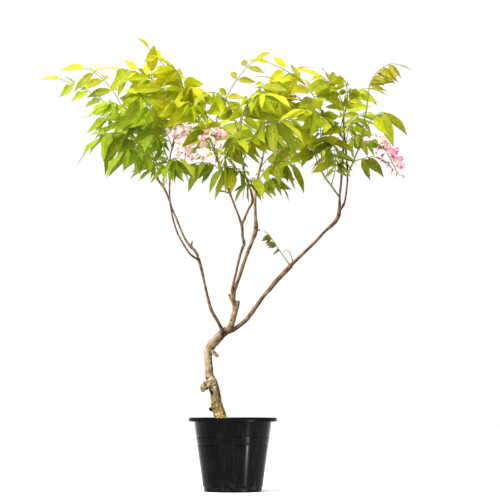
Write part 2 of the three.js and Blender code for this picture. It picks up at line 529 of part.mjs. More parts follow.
/** A leaf as one closed plate: the rib is a strip, and each leaflet grows from an edge of it. */
function leafGeometry({ stalk, slots, turn }) {
  const sheet = [];
  const faces = [];
  const add = (point, offset) => sheet.push({ point, offset }) - 1;
  const rootHalf = RIB_WIDTH / 2 / stalk.getLength();
  const stations = [0];
  for (const { share, side } of slots) {
    if (side === 1) stations.push(share - rootHalf, share + rootHalf);
  }
  stations.push(1);
  const rims = stations.map((share) => {
    const { place, across, up } = stalkFrame(stalk, share, turn);
    const offset = up.clone().multiplyScalar(RIB_THICKNESS / 2);
    const left = add(place.clone().addScaledVector(across, -RIB_WIDTH / 2), offset);
    const right = add(place.clone().addScaledVector(across, RIB_WIDTH / 2), offset);
    return { share, left, right };
  });
  for (let index = 0; index < rims.length - 1; index++) {
    const here = rims[index];
    const next = rims[index + 1];
    faces.push([here.left, here.right, next.right], [here.left, next.right, next.left]);
  }
  for (const { share, side, leaflet } of slots) {
    if (!leaflet) continue;
    const offset = leaflet.face.clone().multiplyScalar(BLADE_THICKNESS / 2);
    const [ahead, behind] = [1, -1].map((edge) => add(bladePoint(leaflet, WIDEST_SHARE, edge), offset));
    const middle = add(bladePoint(leaflet, WIDEST_SHARE, 0), offset);
    const tip = add(bladePoint(leaflet, 1, 0), offset);
    const before = rims.findLast((rim) => rim.share < share);
    const after = rims.find((rim) => rim.share > share) ?? rims.at(-1);
    let outline = [rims.at(-1).left, rims.at(-1).right, ahead, tip, behind];
    if (side === 1) outline = [after.right, before.right, behind, tip, ahead];
    if (side === -1) outline = [before.left, after.left, ahead, tip, behind];
    outline.forEach((corner, index) => faces.push([corner, outline[(index + 1) % outline.length], middle]));
  }
  return thickened(sheet, faces);
}

/** A sheet of triangles as a closed plate: a face on each side, and a wall along each free edge. */
function thickened(sheet, faces) {
  const corners = [
    ...sheet.map(({ point, offset }) => point.clone().add(offset)),
    ...sheet.map(({ point, offset }) => point.clone().sub(offset)),
  ];
  const under = sheet.length;
  const edges = new Set(faces.flatMap(([a, b, c]) => [`${a},${b}`, `${b},${c}`, `${c},${a}`]));
  const triangles = [];
  for (const [a, b, c] of faces) {
    triangles.push([a, b, c], [a + under, c + under, b + under]);
    for (const [from, to] of [[a, b], [b, c], [c, a]]) {
      if (!edges.has(`${to},${from}`)) {
        triangles.push([from, from + under, to + under], [from, to + under, to]);
      }
    }
  }
  return indexed(corners, triangles);
}

// Flowers

const FLORET_SIZE = 20;
const PEDICEL_LENGTH = 16;
const PEDICEL_RADIUS = 0.8;
const GOLDEN_ANGLE = radians(137.5);
const BARE_STALK = 0.34;
const FLORET_TURNS = [0, 0.5, -0.5, 1, -1, 1.6, -1.6, 2.3, -2.3, 3.1];

/** A closed spindle between two points, widest at a share of its length. */
function spindle(from, to, radius, sides, widest) {
  const along = to.clone().sub(from).normalize();
  const across = new THREE.Vector3(0.3, 0.5, 0.81).cross(along).normalize();
  const other = along.clone().cross(across);
  const corners = [from.clone(), to.clone()];
  const middle = from.clone().lerp(to, widest);
  const triangles = [];
  for (let side = 0; side < sides; side++) {
    corners.push(onRing(middle, across, other, radius, side / sides));
    const here = 2 + side;
    const next = 2 + ((side + 1) % sides);
    triangles.push([0, next, here], [1, here, next]);
  }
  return indexed(corners, triangles);
}

/** Where each floret of a raceme sits, which way it faces, and whether it is open. */
function floretsOf(raceme, random) {
  const stalk = racemeStalk(raceme);
  const florets = [];
  for (let number = 0; number < raceme.florets; number++) {
    const young = number / (raceme.florets - 1);
    const place = stalk.getPoint(BARE_STALK + (1 - BARE_STALK) * young);
    const turn = number * GOLDEN_ANGLE + random();
    const rise = 0.35 - 0.75 * young + 0.3 * (random() - 0.5);
    const reach = PEDICEL_LENGTH * (1 - 0.35 * young) * (0.85 + 0.3 * random());
    const isOpen = young <= raceme.open;
    const tries = FLORET_TURNS.map((extra) => {
      const outward = new THREE.Vector3(Math.cos(turn + extra), Math.sin(turn + extra), rise).normalize();
      const end = place.clone().addScaledVector(outward, reach);
      return { place, outward, end, isOpen, young };
    });
    const chosen = tries.find((floret) => isClear(floretBeads(floret)));
    if (chosen) florets.push(chosen);
  }
  return florets;
}

function racemeStalk(raceme) {
  const root = placeOn(limbPoints(raceme.on), raceme.at);
  return curveThrough([root.toArray(), ...raceme.points]);
}

/** The upright back petal: a rounded plate that leans back from the floret's face. */
function bannerPetal({ end, outward }) {
  const across = outward.clone().cross(UP).normalize();
  const raised = across.clone().cross(outward).addScaledVector(outward, -0.35).normalize();
  const face = raised.clone().cross(across);
  const offset = face.clone().multiplyScalar(BLADE_THICKNESS / 2);
  const centre = end.clone().addScaledVector(outward, 2.5).addScaledVector(raised, FLORET_SIZE * 0.4);
  const sheet = [{ point: centre.clone().addScaledVector(face, 1.5), offset }];
  const faces = [];
  const rim = 5;
  for (let corner = 0; corner < rim; corner++) {
    const angle = (2 * Math.PI * corner) / rim - Math.PI / 2;
    const point = centre.clone()
      .addScaledVector(across, FLORET_SIZE * 0.5 * Math.cos(angle))
      .addScaledVector(raised, FLORET_SIZE * 0.48 * Math.sin(angle));
    sheet.push({ point, offset });
    faces.push([0, 1 + ((corner + 1) % rim), 1 + corner]);
  }
  return thickened(sheet, faces);
}

/** One floret's solids: its stalk, its cup, and its petals or bud. */
function floretSolids(floret) {
  const { place, outward, end, isOpen, young } = floret;
  const beyond = (reach, fall) => end.clone().addScaledVector(outward, reach).addScaledVector(UP, -fall);
  const ends = [place, beyond(1, 0)].map((point) => [...point.toArray(), PEDICEL_RADIUS]);
  const solids = [toSolid(limbTube({ sides: 3, steps: 1, points: ends }))];
  if (isOpen) {
    solids.push(toSolid(bannerPetal(floret)));
    solids.push(toSolid(spindle(beyond(-2, 0), beyond(FLORET_SIZE * 0.7, 3), 4.4, 4, 0.5)));
  } else {
    const bud = FLORET_SIZE * (0.75 - 0.4 * young);
    solids.push(toSolid(spindle(beyond(-1.5, 0), beyond(bud * 0.6, bud * 0.6), bud * 0.2, 4, 0.5)));
  }
  return solids;
}

/** Points around a floret, to find it room and to keep leaflets away from it. */
function floretBeads({ place, end, outward, isOpen }) {
  const centre = end.clone().addScaledVector(outward, isOpen ? 4 : 2);
  if (isOpen) centre.z += FLORET_SIZE * 0.25;
  const reach = isOpen ? FLORET_SIZE * 0.45 : 3;
  const front = end.clone().addScaledVector(outward, FLORET_SIZE * 0.5);
  const beads = [centre, place.clone().lerp(end, 0.6), front];
  for (const x of [-1, 0, 1]) {
    for (const y of [-1, 0, 1]) {
      for (const z of [-1, 0, 1]) {
        const step = new THREE.Vector3(x, y, z).normalize();
        beads.push(centre.clone().addScaledVector(step, reach));
      }
    }
  }
  return beads;
}

// Assembly

const tree = new THREE.Group();

function addMesh(name, geometry, color, roughness) {
  const material = new THREE.MeshStandardMaterial({ color, roughness, metalness: 0 });
  const mesh = new THREE.Mesh(geometry, material);
  mesh.name = name;
  tree.add(mesh);
}

/** The radius of the pot's tapered body, and of the room inside it, at a height. */
const bodyRadius = (height) => FOOT_RADIUS + ((MOUTH_RADIUS - FOOT_RADIUS) * height) / POT_HEIGHT;
const roomRadius = (height) => bodyRadius(height) - POT_WALL;

/** The pot: a tapered shell with a turned-out rim, two fine grooves, a foot step and drain holes. */
function pot() {
  const outside = (height, out = 0) => new THREE.Vector2(bodyRadius(height) + out, height);
  const grooves = [POT_HEIGHT - 62, POT_HEIGHT - 43];
  const flangeTop = POT_HEIGHT - 2;
  const flangeUnder = POT_HEIGHT - 5;
  const lipUnder = POT_HEIGHT - 9;
  const profile = [
    new THREE.Vector2(0, 0),
    new THREE.Vector2(FOOT_RADIUS - 1, 0),
    outside(1.5),
    outside(11),
    outside(13, 1.2),
    ...grooves.flatMap((middle) => [
      outside(middle - 1.5, 0.8),
      outside(middle, -0.4),
      outside(middle + 1.5, 0.8),
    ]),
    outside(flangeUnder - 2, 0.6),
    new THREE.Vector2(RIM_RADIUS - 2.5, flangeUnder),
    new THREE.Vector2(RIM_RADIUS - 1.5, lipUnder),
    new THREE.Vector2(RIM_RADIUS, lipUnder),
    new THREE.Vector2(RIM_RADIUS, POT_HEIGHT - 1.5),
    new THREE.Vector2(RIM_RADIUS - 1.5, POT_HEIGHT),
    new THREE.Vector2(RIM_RADIUS - 6, flangeTop),
    new THREE.Vector2(roomRadius(flangeTop - 1), flangeTop - 1),
    new THREE.Vector2(roomRadius(POT_FLOOR), POT_FLOOR),
    new THREE.Vector2(0, POT_FLOOR),
  ];
  const shell = toSolid(new THREE.LatheGeometry(profile, POT_SEGMENTS).rotateX(Math.PI / 2));
  const holes = [];
  for (let number = 0; number < DRAIN_HOLES; number++) {
    const hole = new THREE.CylinderGeometry(DRAIN_RADIUS, DRAIN_RADIUS, 4 * POT_FLOOR, 8);
    hole.rotateX(Math.PI / 2).translate(DRAIN_CIRCLE, 0, 0);
    hole.rotateZ((2 * Math.PI * (number + 0.5)) / DRAIN_HOLES);
    holes.push(toSolid(hole));
  }
  return toGeometry(shell.subtract(joined(holes)));
}

/** The potting mix: it fills the pot to just under the rim, with a plain hole where the trunk stands. */
function soil(trunkRoom) {
  const top = POT_HEIGHT - SOIL_BELOW_RIM;
  const bottom = POT_FLOOR + SEAT_GAP;
  const profile = [
    new THREE.Vector2(0, bottom),
    new THREE.Vector2(roomRadius(bottom) - SEAT_GAP, bottom),
    new THREE.Vector2(roomRadius(top - 4) - SEAT_GAP, top - 4),
    new THREE.Vector2(roomRadius(top) - 12, top - 1),
    new THREE.Vector2(40, top + 2),
    new THREE.Vector2(0, top + 3),
  ];
  const filling = toSolid(new THREE.LatheGeometry(profile, POT_SEGMENTS).rotateX(Math.PI / 2));
  return toGeometry(filling.subtract(trunkRoom));
}

const WOOD_TOLERANCE = 0.2;
const ROOM = SEAT_GAP + 0.08;
const limbSolid = (limb, grow) => toSolid(limbTube(limb, grow));

const wood = joined(Object.values(WOODY_LIMBS).map((limb) => limbSolid(limb, 0)));
const woodRoom = joined(Object.values(WOODY_LIMBS).map((limb) => limbSolid(limb, ROOM)));

addMesh('pot', pot(), 0x1c1d1d, 0.45);
addMesh('soil', soil(limbSolid(WOODY_LIMBS.trunk, SEAT_GAP)), 0x3b2c20, 0.95);
addMesh('trunk_and_branches', toGeometry(wood, WOOD_TOLERANCE), 0x9a7650, 0.85);

for (const { points } of Object.values({ ...WOODY_LIMBS, ...GREEN_SHOOTS })) {
  occupy(beadsAlong(curveThrough(points)));
}
for (const leaf of LEAVES) occupy(beadsAlong(leafStalk(leaf)));

const flowerRandom = randomSource(7);
for (const raceme of RACEMES) {
  const stalk = racemeStalk(raceme);
  const florets = floretsOf(raceme, flowerRandom);
  occupy(beadsAlong(stalk));
  florets.forEach((floret) => occupy(floretBeads(floret)));
  const points = [[...stalk.getPoint(0).toArray(), raceme.points[0][3]], ...raceme.points];
  const solids = [limbSolid({ sides: 4, steps: 2, points }, 0), ...florets.flatMap(floretSolids)];
  const shoot = GREEN_SHOOTS[raceme.on];
  const room = shoot ? woodRoom.add(limbSolid(shoot, ROOM)) : woodRoom;
  addMesh(raceme.name, toGeometry(mainBody(joined(solids).subtract(room))), 0xf0b6b4, 0.6);
}

const leafRandom = randomSource(11);
const leaves = LEAVES.map((row) => ({ ...row, ...leafletsOf(row, leafRandom) }));
for (const [name, shoot] of Object.entries(GREEN_SHOOTS)) {
  const carried = leaves.filter((leaf) => leaf.on === name).map((leaf) => toSolid(leafGeometry(leaf)));
  const body = joined([limbSolid(shoot, 0), ...carried]).subtract(woodRoom);
  addMesh(name, toGeometry(mainBody(body)), 0x93b52a, 0.6);
}
for (const leaf of leaves.filter(({ on }) => on in WOODY_LIMBS)) {
  const body = toSolid(leafGeometry(leaf)).subtract(woodRoom);
  addMesh(leaf.name, toGeometry(mainBody(body)), 0x7fa51f, 0.6);
}

export default tree;
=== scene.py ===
import math

import bpy
import numpy as np
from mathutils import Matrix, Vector, kdtree, noise


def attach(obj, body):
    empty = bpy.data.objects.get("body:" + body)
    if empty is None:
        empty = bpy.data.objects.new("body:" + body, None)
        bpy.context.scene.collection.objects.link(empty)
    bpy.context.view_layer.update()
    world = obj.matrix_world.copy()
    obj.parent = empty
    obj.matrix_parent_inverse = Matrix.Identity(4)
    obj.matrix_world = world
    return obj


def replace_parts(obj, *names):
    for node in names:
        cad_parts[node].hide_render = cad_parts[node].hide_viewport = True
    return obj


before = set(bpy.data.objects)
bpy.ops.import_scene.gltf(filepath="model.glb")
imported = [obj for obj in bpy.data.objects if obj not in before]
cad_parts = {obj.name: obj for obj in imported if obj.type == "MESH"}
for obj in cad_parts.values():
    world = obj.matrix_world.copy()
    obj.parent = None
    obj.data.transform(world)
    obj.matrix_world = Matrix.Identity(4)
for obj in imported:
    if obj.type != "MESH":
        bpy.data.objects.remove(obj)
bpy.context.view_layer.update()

# The pot
# A nursery pot of black polypropylene, injection moulded in one piece with a thin tapered wall.
# Its rim turns out to a flange with a lip, two grooves run round its body, and its foot steps in.
MM = 0.001
POT_HEIGHT = 172
RIM_RADIUS = 102.5
MOUTH_RADIUS = 90.5
FOOT_RADIUS = 67
FOOT_HEIGHT = 11
FOOT_STEP = 1.2
GROOVES = (POT_HEIGHT - 62, POT_HEIGHT - 43)
GROOVE_REACH = 1.5
GROOVE_EDGE = 0.8
GROOVE_DEPTH = 0.4
FLANGE_TOP = POT_HEIGHT - 2
FLANGE_UNDER = POT_HEIGHT - 5
LIP_UNDER = POT_HEIGHT - 9
LIP_ROOT = 2.5
LIP_EDGE = 1.5
RIM_WIDTH = 6
RIM_BEVEL = 1.5
CORNER_RADIUS = 0.9
SHARP_TURN = 50
POT_WALL = 2.2
POT_FLOOR = 5
DRAIN_HOLES = 6
DRAIN_RADIUS = 6
DRAIN_CIRCLE = 46
DRAIN_SIDES = 24
POT_SEGMENTS = 144
SCUFF_SIZE = 7
DUST_SIZE = 11
DUST_TOP = 30
# The real moulded grain is about 0.2 mm, and is drawn coarser so that it shows.
GRAIN_SIZE = 0.9


def linear(code, alpha=1.0):
    """An sRGB hex colour as linear numbers."""
    channels = [int(code[place:place + 2], 16) / 255 for place in (1, 3, 5)]
    return [*(c / 12.92 if c <= 0.04045 else ((c + 0.055) / 1.055) ** 2.4 for c in channels), alpha]


def add_node(tree, kind, inputs=None, **settings):
    """Adds a shader node: `settings` are its properties, and `inputs` its sockets' values or links.

    A socket goes by name or number. A MapRange reads 1 to 2 and gives 3 to 4, and a Mix goes from 6 to 7.
    """
    node = tree.nodes.new("ShaderNode" + kind)
    for name, value in settings.items():
        setattr(node, name, value)
    for name, value in (inputs or {}).items():
        if isinstance(value, bpy.types.NodeSocket):
            tree.links.new(value, node.inputs[name])
        else:
            node.inputs[name].default_value = value
    return node


def set_stops(ramp, stops):
    """Sets a colour ramp's stops, given as (place, hex colour) in order."""
    elements = ramp.color_ramp.elements
    while len(elements) < len(stops):
        elements.new(0.5)
    for element, (place, code) in zip(elements, stops):
        element.position = place
        element.color = linear(code)


def new_material(name):
    """An empty material and its node tree."""
    material = bpy.data.materials.new(name)
    material.use_nodes = True
    material.node_tree.nodes.clear()
    return material, material.node_tree


def add_piece(name, corners, faces, materials):
    """A smooth mesh piece from corners in millimetres, riding on the one body."""
    mesh = bpy.data.meshes.new(name)
    mesh.from_pydata((np.array(corners) * MM).tolist(), [], faces)
    mesh.shade_smooth()
    for material in materials:
        mesh.materials.append(material)
    piece = bpy.data.objects.new(name, mesh)
    bpy.context.scene.collection.objects.link(piece)
    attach(piece, "root")
    return piece


def applied(piece):
    """Turns a piece's modifiers into its mesh."""
    graph = bpy.context.evaluated_depsgraph_get()
    mesh = bpy.data.meshes.new_from_object(piece.evaluated_get(graph))
    piece.modifiers.clear()
    piece.data = mesh


def eased(profile, radius, steps=3, most=0.45):
    """A profile with each inner corner turned to a small arc, which takes up to `most` of an edge."""
    points = [Vector(point) for point in profile]
    made = [points[0]]
    for before, corner, after in zip(points, points[1:], points[2:]):
        reach = min(radius, (before - corner).length * most, (after - corner).length * most)
        start = corner + (before - corner).normalized() * reach
        end = corner + (after - corner).normalized() * reach
        for step in range(steps + 1):
            share = step / steps
            made.append(start.lerp(corner, share).lerp(corner.lerp(end, share), share))
    return [*made, points[-1]]


def lathe(profile, segments):
    """Corners and faces of a profile of (radius, height) that starts and ends on the Z axis."""
    corners = [(0, 0, profile[0][1]), (0, 0, profile[-1][1])]
    rings = profile[1:-1]
    for radius, height in rings:
        for segment in range(segments):
            angle = 2 * math.pi * segment / segments
            corners.append((radius * math.cos(angle), radius * math.sin(angle), height))
    faces = []
    last = 2 + (len(rings) - 1) * segments
    for segment in range(segments):
        beside = (segment + 1) % segments
        faces.append((0, 2 + beside, 2 + segment))
        faces.append((1, last + segment, last + beside))
        for ring in range(len(rings) - 1):
            low = 2 + ring * segments
            high = low + segments
            faces.append((low + segment, low + beside, high + beside, high + segment))
    return corners, faces


def body_radius(height):
    """The radius of the pot's tapered body at a height."""
    return FOOT_RADIUS + (MOUTH_RADIUS - FOOT_RADIUS) * height / POT_HEIGHT


def pot_profile():
    """The pot's section, from the middle of its underside round the rim to the middle of its floor."""
    foot_edge = 1.5
    step_top = FOOT_HEIGHT + 2
    collar = FLANGE_UNDER - 2
    mouth = FLANGE_TOP - 1
    profile = [(0, 0), (FOOT_RADIUS - 1, 0)]
    profile += [(body_radius(height), height) for height in (foot_edge, FOOT_HEIGHT)]
    profile.append((body_radius(step_top) + FOOT_STEP, step_top))
    for middle in GROOVES:
        for beside, proud in ((-GROOVE_REACH, GROOVE_EDGE), (0, -GROOVE_DEPTH), (GROOVE_REACH, GROOVE_EDGE)):
            profile.append((body_radius(middle + beside) + proud, middle + beside))
    return [
        *profile, (body_radius(collar) + 0.6, collar), (RIM_RADIUS - LIP_ROOT, FLANGE_UNDER),
        (RIM_RADIUS - LIP_EDGE, LIP_UNDER), (RIM_RADIUS, LIP_UNDER), (RIM_RADIUS, POT_HEIGHT - RIM_BEVEL),
        (RIM_RADIUS - RIM_BEVEL, POT_HEIGHT), (RIM_RADIUS - RIM_WIDTH, FLANGE_TOP),
        (body_radius(mouth) - POT_WALL, mouth), (body_radius(POT_FLOOR) - POT_WALL, POT_FLOOR),
        (0, POT_FLOOR),
    ]


def black_polypropylene():
    """Black polypropylene, moulded: a soft sheen, a fine grain, faint upright scuffs and dust low down."""
    material, tree = new_material("black polypropylene")
    place = add_node(tree, "TexCoord").outputs["Object"]
    upright = add_node(tree, "Mapping", {"Vector": place, "Scale": (1, 1, 0.12)}).outputs[0]
    scuffs = add_node(tree, "TexNoise", {"Vector": upright, "Scale": 1 / (SCUFF_SIZE * MM), "Detail": 5})
    scuff_share = add_node(tree, "MapRange", {0: scuffs.outputs[0], 1: 0.5, 2: 0.75}).outputs[0]
    plastic = add_node(tree, "ValToRGB", {0: scuff_share})
    set_stops(plastic, [(0, "#030303"), (1, "#090909")])
    height = add_node(tree, "SeparateXYZ", {0: place}).outputs[2]
    low = add_node(tree, "MapRange", {0: height, 1: DUST_TOP * MM, 2: 0}).outputs[0]
    specks = add_node(tree, "TexNoise", {"Vector": place, "Scale": 1 / (DUST_SIZE * MM), "Detail": 8})
    dust_share = add_node(tree, "MapRange", {0: specks.outputs[0], 1: 0.48, 2: 0.72, 4: 0.13}).outputs[0]
    dust = add_node(tree, "Math", {0: dust_share, 1: low}, operation="MULTIPLY").outputs[0]
    colour = add_node(tree, "Mix", {0: dust, 6: plastic.outputs[0], 7: linear("#544f48")}, data_type="RGBA")
    roughness = add_node(tree, "MapRange", {0: scuff_share, 3: 0.19, 4: 0.23}).outputs[0]
    # The rim is rougher than the body, because hands and other pots rub it.
    rim = add_node(tree, "MapRange", {
        0: height, 1: (LIP_UNDER + 1) * MM, 2: (LIP_UNDER + 3) * MM, 4: 0.3,
    }).outputs[0]
    worn = add_node(tree, "Math", {0: roughness, 1: rim}, operation="ADD").outputs[0]
    grain = add_node(tree, "TexNoise", {"Vector": place, "Scale": 1 / (GRAIN_SIZE * MM), "Detail": 2})
    bump = add_node(tree, "Bump", {"Height": grain.outputs[0], "Strength": 0.05, "Distance": 0.1 * MM})
    shader = add_node(tree, "BsdfPrincipled", {
        "Base Color": colour.outputs[2], "Roughness": worn, "IOR": 1.49, "Specular IOR Level": 0.03,
        "Anisotropic": 0.85, "Anisotropic Rotation": 0.25, "Normal": bump.outputs[0],
    })
    add_node(tree, "OutputMaterial", {0: shader.outputs[0]})
    return material


def build_pot():
    """Turns the pot's section round its axis and cuts the drain holes through its floor."""
    corners, faces = lathe(eased(pot_profile(), CORNER_RADIUS), POT_SEGMENTS)
    pot = add_piece("nursery_pot", corners, faces, [black_polypropylene()])
    drill_corners = []
    drill_faces = []
    for hole in range(DRAIN_HOLES):
        turn = 2 * math.pi * (hole + 0.5) / DRAIN_HOLES
        low = len(drill_corners)
        high = low + DRAIN_SIDES
        for height in (-POT_FLOOR, 2 * POT_FLOOR):
            for side in range(DRAIN_SIDES):
                angle = 2 * math.pi * side / DRAIN_SIDES
                x = DRAIN_CIRCLE * math.cos(turn) + DRAIN_RADIUS * math.cos(angle)
                y = DRAIN_CIRCLE * math.sin(turn) + DRAIN_RADIUS * math.sin(angle)
                drill_corners.append((x * MM, y * MM, height * MM))
        for side in range(DRAIN_SIDES):
            beside = (side + 1) % DRAIN_SIDES
            drill_faces.append((low + side, low + beside, high + beside, high + side))
        drill_faces.append([low + side for side in reversed(range(DRAIN_SIDES))])
        drill_faces.append([high + side for side in range(DRAIN_SIDES)])
    drill_mesh = bpy.data.meshes.new("drain_drill")
    drill_mesh.from_pydata(drill_corners, [], drill_faces)
    drill = bpy.data.objects.new("drain_drill", drill_mesh)
    bpy.context.scene.collection.objects.link(drill)
    cut = pot.modifiers.new("drain holes", "BOOLEAN")
    cut.object = drill
    cut.operation = "DIFFERENCE"
    cut.solver = "EXACT"
    applied(pot)
    bpy.data.objects.remove(drill)
    pot.data.shade_smooth()
    sharpen = pot.modifiers.new("sharp edges", "EDGE_SPLIT")
    sharpen.split_angle = math.radians(SHARP_TURN)
    applied(pot)
    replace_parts(pot, "pot")


build_pot()

# The potting mix
# Shredded bark and coir with a little compost, loose and dry on top.
# It is filled to just under the rim and lies against the pot's wall and round the trunk.
SOIL_BELOW_RIM = 20
SEAT_GAP = 0.3
SOIL_RINGS = 26
SOIL_SEGMENTS = 96
EDGE_DROP = 2
MOUND_RISE = 4
HEAP_WIDTH = 9
HEAP_HEIGHT = 2.2
CRUMB_HEIGHT = 0.8
# Real crumbs are about 1 mm, and are drawn coarser so that they show.
CRUMB_SIZE = 3
CHIPS = 420
CHIP_SIDES = 7
CHIP_REACH = 84
# The least length, width and thickness of a chip, each with what may be added to it.
CHIP_SIZES = ((5, 10), (2.5, 4), (1.2, 1.6))
# A chip's three rings of corners: the place of each in its thickness, and its share of the width.
CHIP_RINGS = ((-0.5, 0.85), (0.1, 1.0), (0.5, 0.8))


def random_source(seed):
    """Repeatable random numbers between 0 and 1, each worked out from the one before."""
    state = seed
    while True:
        state = (1664525 * state + 1013904223) % 2 ** 32
        yield state / 2 ** 32


def bark_mix():
    """Potting mix: dull and dry, each chip with its own brown, and roughened by fine crumbs."""
    material, tree = new_material("bark and coir potting mix")
    place = add_node(tree, "TexCoord").outputs["Object"]
    island = add_node(tree, "NewGeometry").outputs["Random Per Island"]
    crumbs = add_node(tree, "TexNoise", {"Vector": place, "Scale": 1 / (CRUMB_SIZE * MM), "Detail": 6})
    mixed = add_node(tree, "Math", {0: island, 1: crumbs.outputs[0]}, operation="ADD").outputs[0]
    share = add_node(tree, "Math", {0: mixed, 1: 0.5}, operation="MULTIPLY").outputs[0]
    browns = add_node(tree, "ValToRGB", {0: share})
    set_stops(browns, [(0.2, "#1c130d"), (0.42, "#3d2a1c"), (0.62, "#6d4b30"), (0.85, "#94704c")])
    bump = add_node(tree, "Bump", {"Height": crumbs.outputs[0], "Strength": 0.7, "Distance": 1 * MM})
    shader = add_node(tree, "BsdfPrincipled", {
        "Base Color": browns.outputs[0], "Roughness": 0.95, "Specular IOR Level": 0.2,
        "Normal": bump.outputs[0],
    })
    add_node(tree, "OutputMaterial", {0: shader.outputs[0]})
    return material


def add_chip(corners, faces, level, draw):
    """Adds a flat chip of bark that lies on the mix at any angle."""
    radius = CHIP_REACH * math.sqrt(next(draw))
    turn = 2 * math.pi * next(draw)
    length, width, depth = (least + more * next(draw) for least, more in CHIP_SIZES)
    height = level + 1.5 * math.cos(radius / 60) + 0.6 * next(draw)
    middle = Vector((radius * math.cos(turn), radius * math.sin(turn), height))
    facing = Vector((next(draw) - 0.5, next(draw) - 0.5, 1.6)).normalized()
    heading = 7 * turn
    along = facing.cross(Vector((math.cos(heading), math.sin(heading), 0))).normalized()
    across = facing.cross(along)
    start = len(corners)
    for share, shrink in CHIP_RINGS:
        for side in range(CHIP_SIDES):
            angle = 2 * math.pi * side / CHIP_SIDES
            reach = shrink * (0.75 + 0.35 * next(draw)) / 2
            ragged = along * (length * reach * math.cos(angle)) + across * (width * reach * math.sin(angle))
            corners.append(tuple(middle + ragged + facing * (depth * share)))
    for low in (start, start + CHIP_SIDES):
        high = low + CHIP_SIDES
        for side in range(CHIP_SIDES):
            beside = (side + 1) % CHIP_SIDES
            faces.append((low + side, low + beside, high + beside, high + side))
    faces.append([start + side for side in reversed(range(CHIP_SIDES))])
    faces.append([start + 2 * CHIP_SIDES + side for side in range(CHIP_SIDES)])


def build_soil():
    """Fills the pot with a mound that has a crumbly top, and scatters the chips on it."""
    draw = random_source(5)
    level = POT_HEIGHT - SOIL_BELOW_RIM
    bottom = POT_FLOOR + SEAT_GAP
    wall = body_radius(level) - POT_WALL - SEAT_GAP
    profile = [(0, bottom), (body_radius(bottom) - POT_WALL - SEAT_GAP, bottom), (wall, level - MOUND_RISE)]
    for ring in range(SOIL_RINGS + 1):
        height = level - EDGE_DROP + MOUND_RISE * math.sin(math.pi / 2 * ring / SOIL_RINGS)
        profile.append((max(wall * (1 - ring / SOIL_RINGS), 0), height))
    corners, faces = lathe(profile, SOIL_SEGMENTS)
    for number, (x, y, z) in enumerate(corners):
        if z > level - EDGE_DROP - 1:
            heap = HEAP_HEIGHT * noise.noise((x / HEAP_WIDTH, y / HEAP_WIDTH, 3))
            crumb = CRUMB_HEIGHT * noise.noise((x / CRUMB_SIZE, y / CRUMB_SIZE, 7))
            corners[number] = (x, y, z + (heap + crumb))
    for _ in range(CHIPS):
        add_chip(corners, faces, level, draw)
    soil = add_piece("potting_mix", corners, faces, [bark_mix()])
    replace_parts(soil, "soil")


build_soil()

